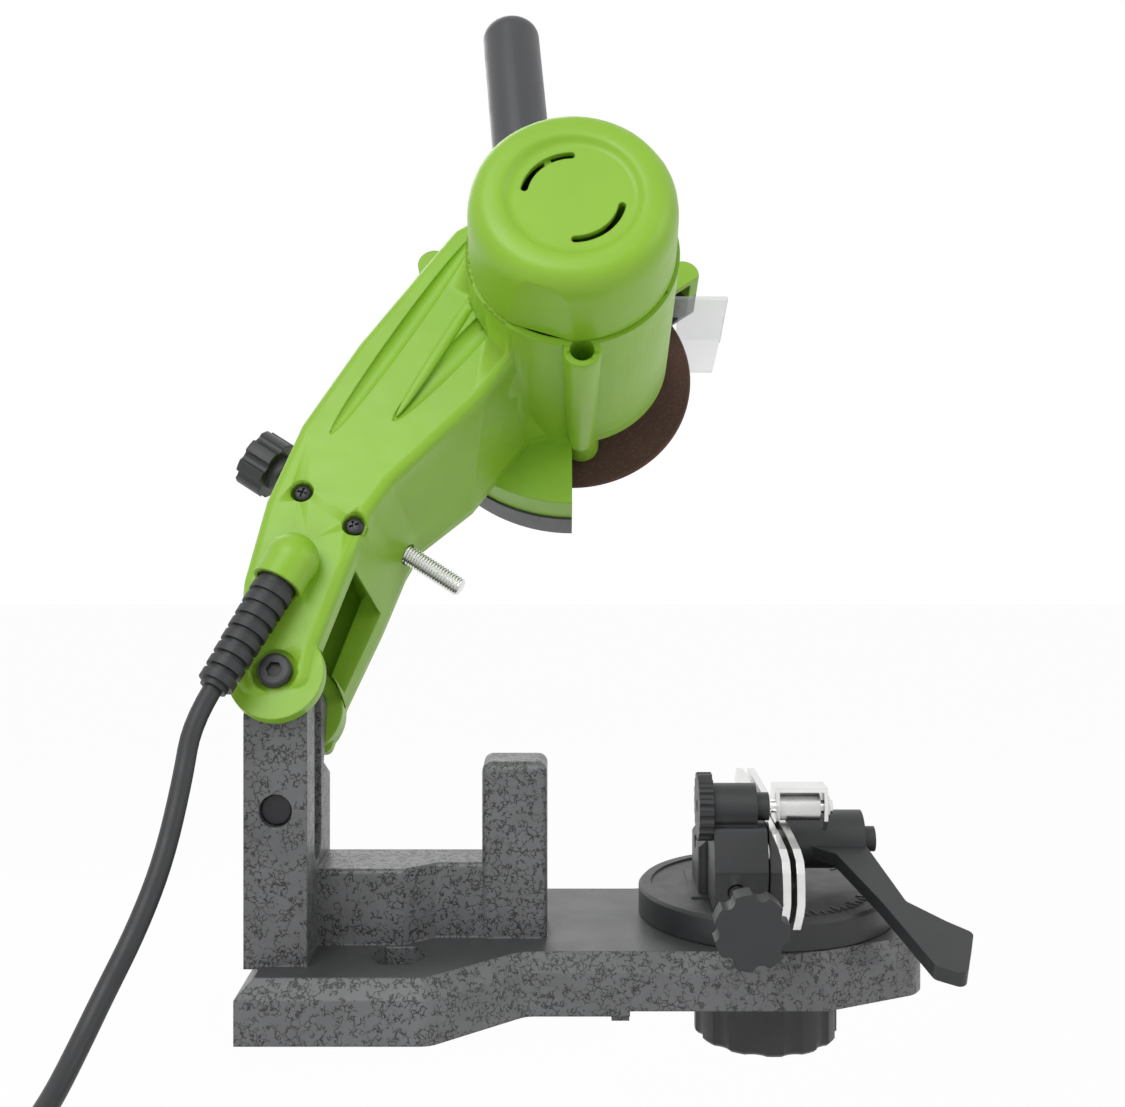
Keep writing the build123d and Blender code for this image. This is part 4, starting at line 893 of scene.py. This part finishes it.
def makeDepthBolt():
    rod = threadedRod(depthThread, armPoint(*depthThread["place"]), armAcross)
    addPiece("depth_bolt_thread", rod, "bright", "depth_bolt", ["depth_bolt"], smooth=50)


makeDepthBolt()
print("screws and threads made")

# the scale on the turntable is plain raised ticks
dialScale = {
    "middle": (142.3, 21.3),
    "face": 32.5,  # the dial floor
    "radius": 42.5,  # outer end of the ticks
    "long": 5.5,
    "short": 3.2,
    "wide": 0.7,
    "high": 0.5,
    "angles": range(-70, 71, 5),
    "longEach": 15,
    "facing": -25.0,  # the scale's middle, turned from +X
}


def makeDial():
    scale = dialScale
    centre = Matrix.Translation(Vector((*scale["middle"], scale["face"])) * mm)
    ticks = []
    for angle in scale["angles"]:
        length = scale["long"] if angle % scale["longEach"] == 0 else scale["short"]
        turn = Matrix.Rotation(math.radians(angle + scale["facing"]), 4, "Z")
        # a quarter of each tick is sunk in the floor
        out = Matrix.Translation(((scale["radius"] - length / 2) * mm, 0, scale["high"] / 4 * mm))
        ticks.append(block((length, scale["wide"], scale["high"]), centre @ turn @ out))
    addPiece("dial_ticks", joined(ticks), "strip", "table")


makeDial()
print("dial made")

# a bench board and a floor far below it
stageSettings = {
    "benchLow": (-420.0, -620.0, -22.0),
    "benchHigh": (78.4, 140.0, -0.15),
    "floor": -260.0,
    "floorHalf": 4.0,  # metres
    "shade": 0.95,
    "rough": 0.75,
    "white": 0.96,  # share of plain white that the camera sees, the rest keeps the shadow
}


def paleFinish(name):
    # pale board that looks white to the camera but keeps a soft shadow
    board = Finish(name)
    board.surfaceSet(colour=(stageSettings["shade"],) * 3, rough=stageSettings["rough"])
    held = {"operation": "MULTIPLY", "use_clamp": True}
    white = board.node("ShaderNodeMath", held, {0: board.seen("ADD"), 1: stageSettings["white"]})
    glow = board.node("ShaderNodeEmission", {}, {"Color": (1, 1, 1, 1), "Strength": 1.0})
    lit = Value(board, board.surface.outputs[0])
    blend = board.node("ShaderNodeMixShader", {}, {0: white, 1: lit, 2: glow})
    board.tree.links.new(blend.socket, board.tree.nodes["Material Output"].inputs["Surface"])
    return board.material


def makeStage():
    low, high = (Vector(stageSettings[key]) * mm for key in ("benchLow", "benchHigh"))
    shape = bmesh.new()
    bmesh.ops.create_cube(shape, size=1)
    bmesh.ops.scale(shape, vec=high - low, verts=shape.verts)
    bmesh.ops.translate(shape, vec=(low + high) / 2, verts=shape.verts)
    floorShape = bmesh.new()
    bmesh.ops.create_grid(floorShape, x_segments=1, y_segments=1, size=stageSettings["floorHalf"])
    bmesh.ops.translate(floorShape, vec=(0, 0, stageSettings["floor"] * mm), verts=floorShape.verts)
    for name, each in (("bench_board", shape), ("floor", floorShape)):
        mesh = bpy.data.meshes.new(name)
        each.to_mesh(mesh)
        each.free()
        mesh.materials.append(paleFinish(name + "Pale"))
        board = bpy.data.objects.new(name, mesh)
        bpy.context.scene.collection.objects.link(board)


lightSettings = {
    "world": 0.42,
    "lamps": [
        {"name": "keySoftbox", "place": (-0.45, -1.0, 1.15), "size": 1.1, "power": 11.0},
        {"name": "sideSoftbox", "place": (1.1, -0.35, 0.7), "size": 0.8, "power": 2.2},
        {"name": "backSoftbox", "place": (-0.3, 1.1, 0.9), "size": 0.9, "power": 3.5},
    ],
    "aim": (0.04, 0.0, 0.16),
}


def makeLight():
    world = bpy.data.worlds.new("studio")
    bpy.context.scene.world = world
    world.use_nodes = True
    sky = ShaderTree(world.node_tree)
    background = world.node_tree.nodes["Background"]
    background.inputs["Color"].default_value = (1, 1, 1, 1)
    strength = {"Value": sky.seen("MAXIMUM"), "To Min": lightSettings["world"], "To Max": 1.0}
    level = sky.node("ShaderNodeMapRange", {}, strength)
    sky.tree.links.new(level.socket, background.inputs["Strength"])
    for lamp in lightSettings["lamps"]:
        data = bpy.data.lights.new(lamp["name"], "AREA")
        data.shape = "DISK"
        data.size = lamp["size"]
        data.energy = lamp["power"]
        holder = bpy.data.objects.new(lamp["name"], data)
        holder.location = lamp["place"]
        aim = Vector(lightSettings["aim"]) - Vector(lamp["place"])
        holder.rotation_euler = aim.to_track_quat("-Z", "Y").to_euler()
        bpy.context.scene.collection.objects.link(holder)
    bpy.context.scene.view_settings.view_transform = "Standard"


makeStage()
makeLight()
print("stage and light made")
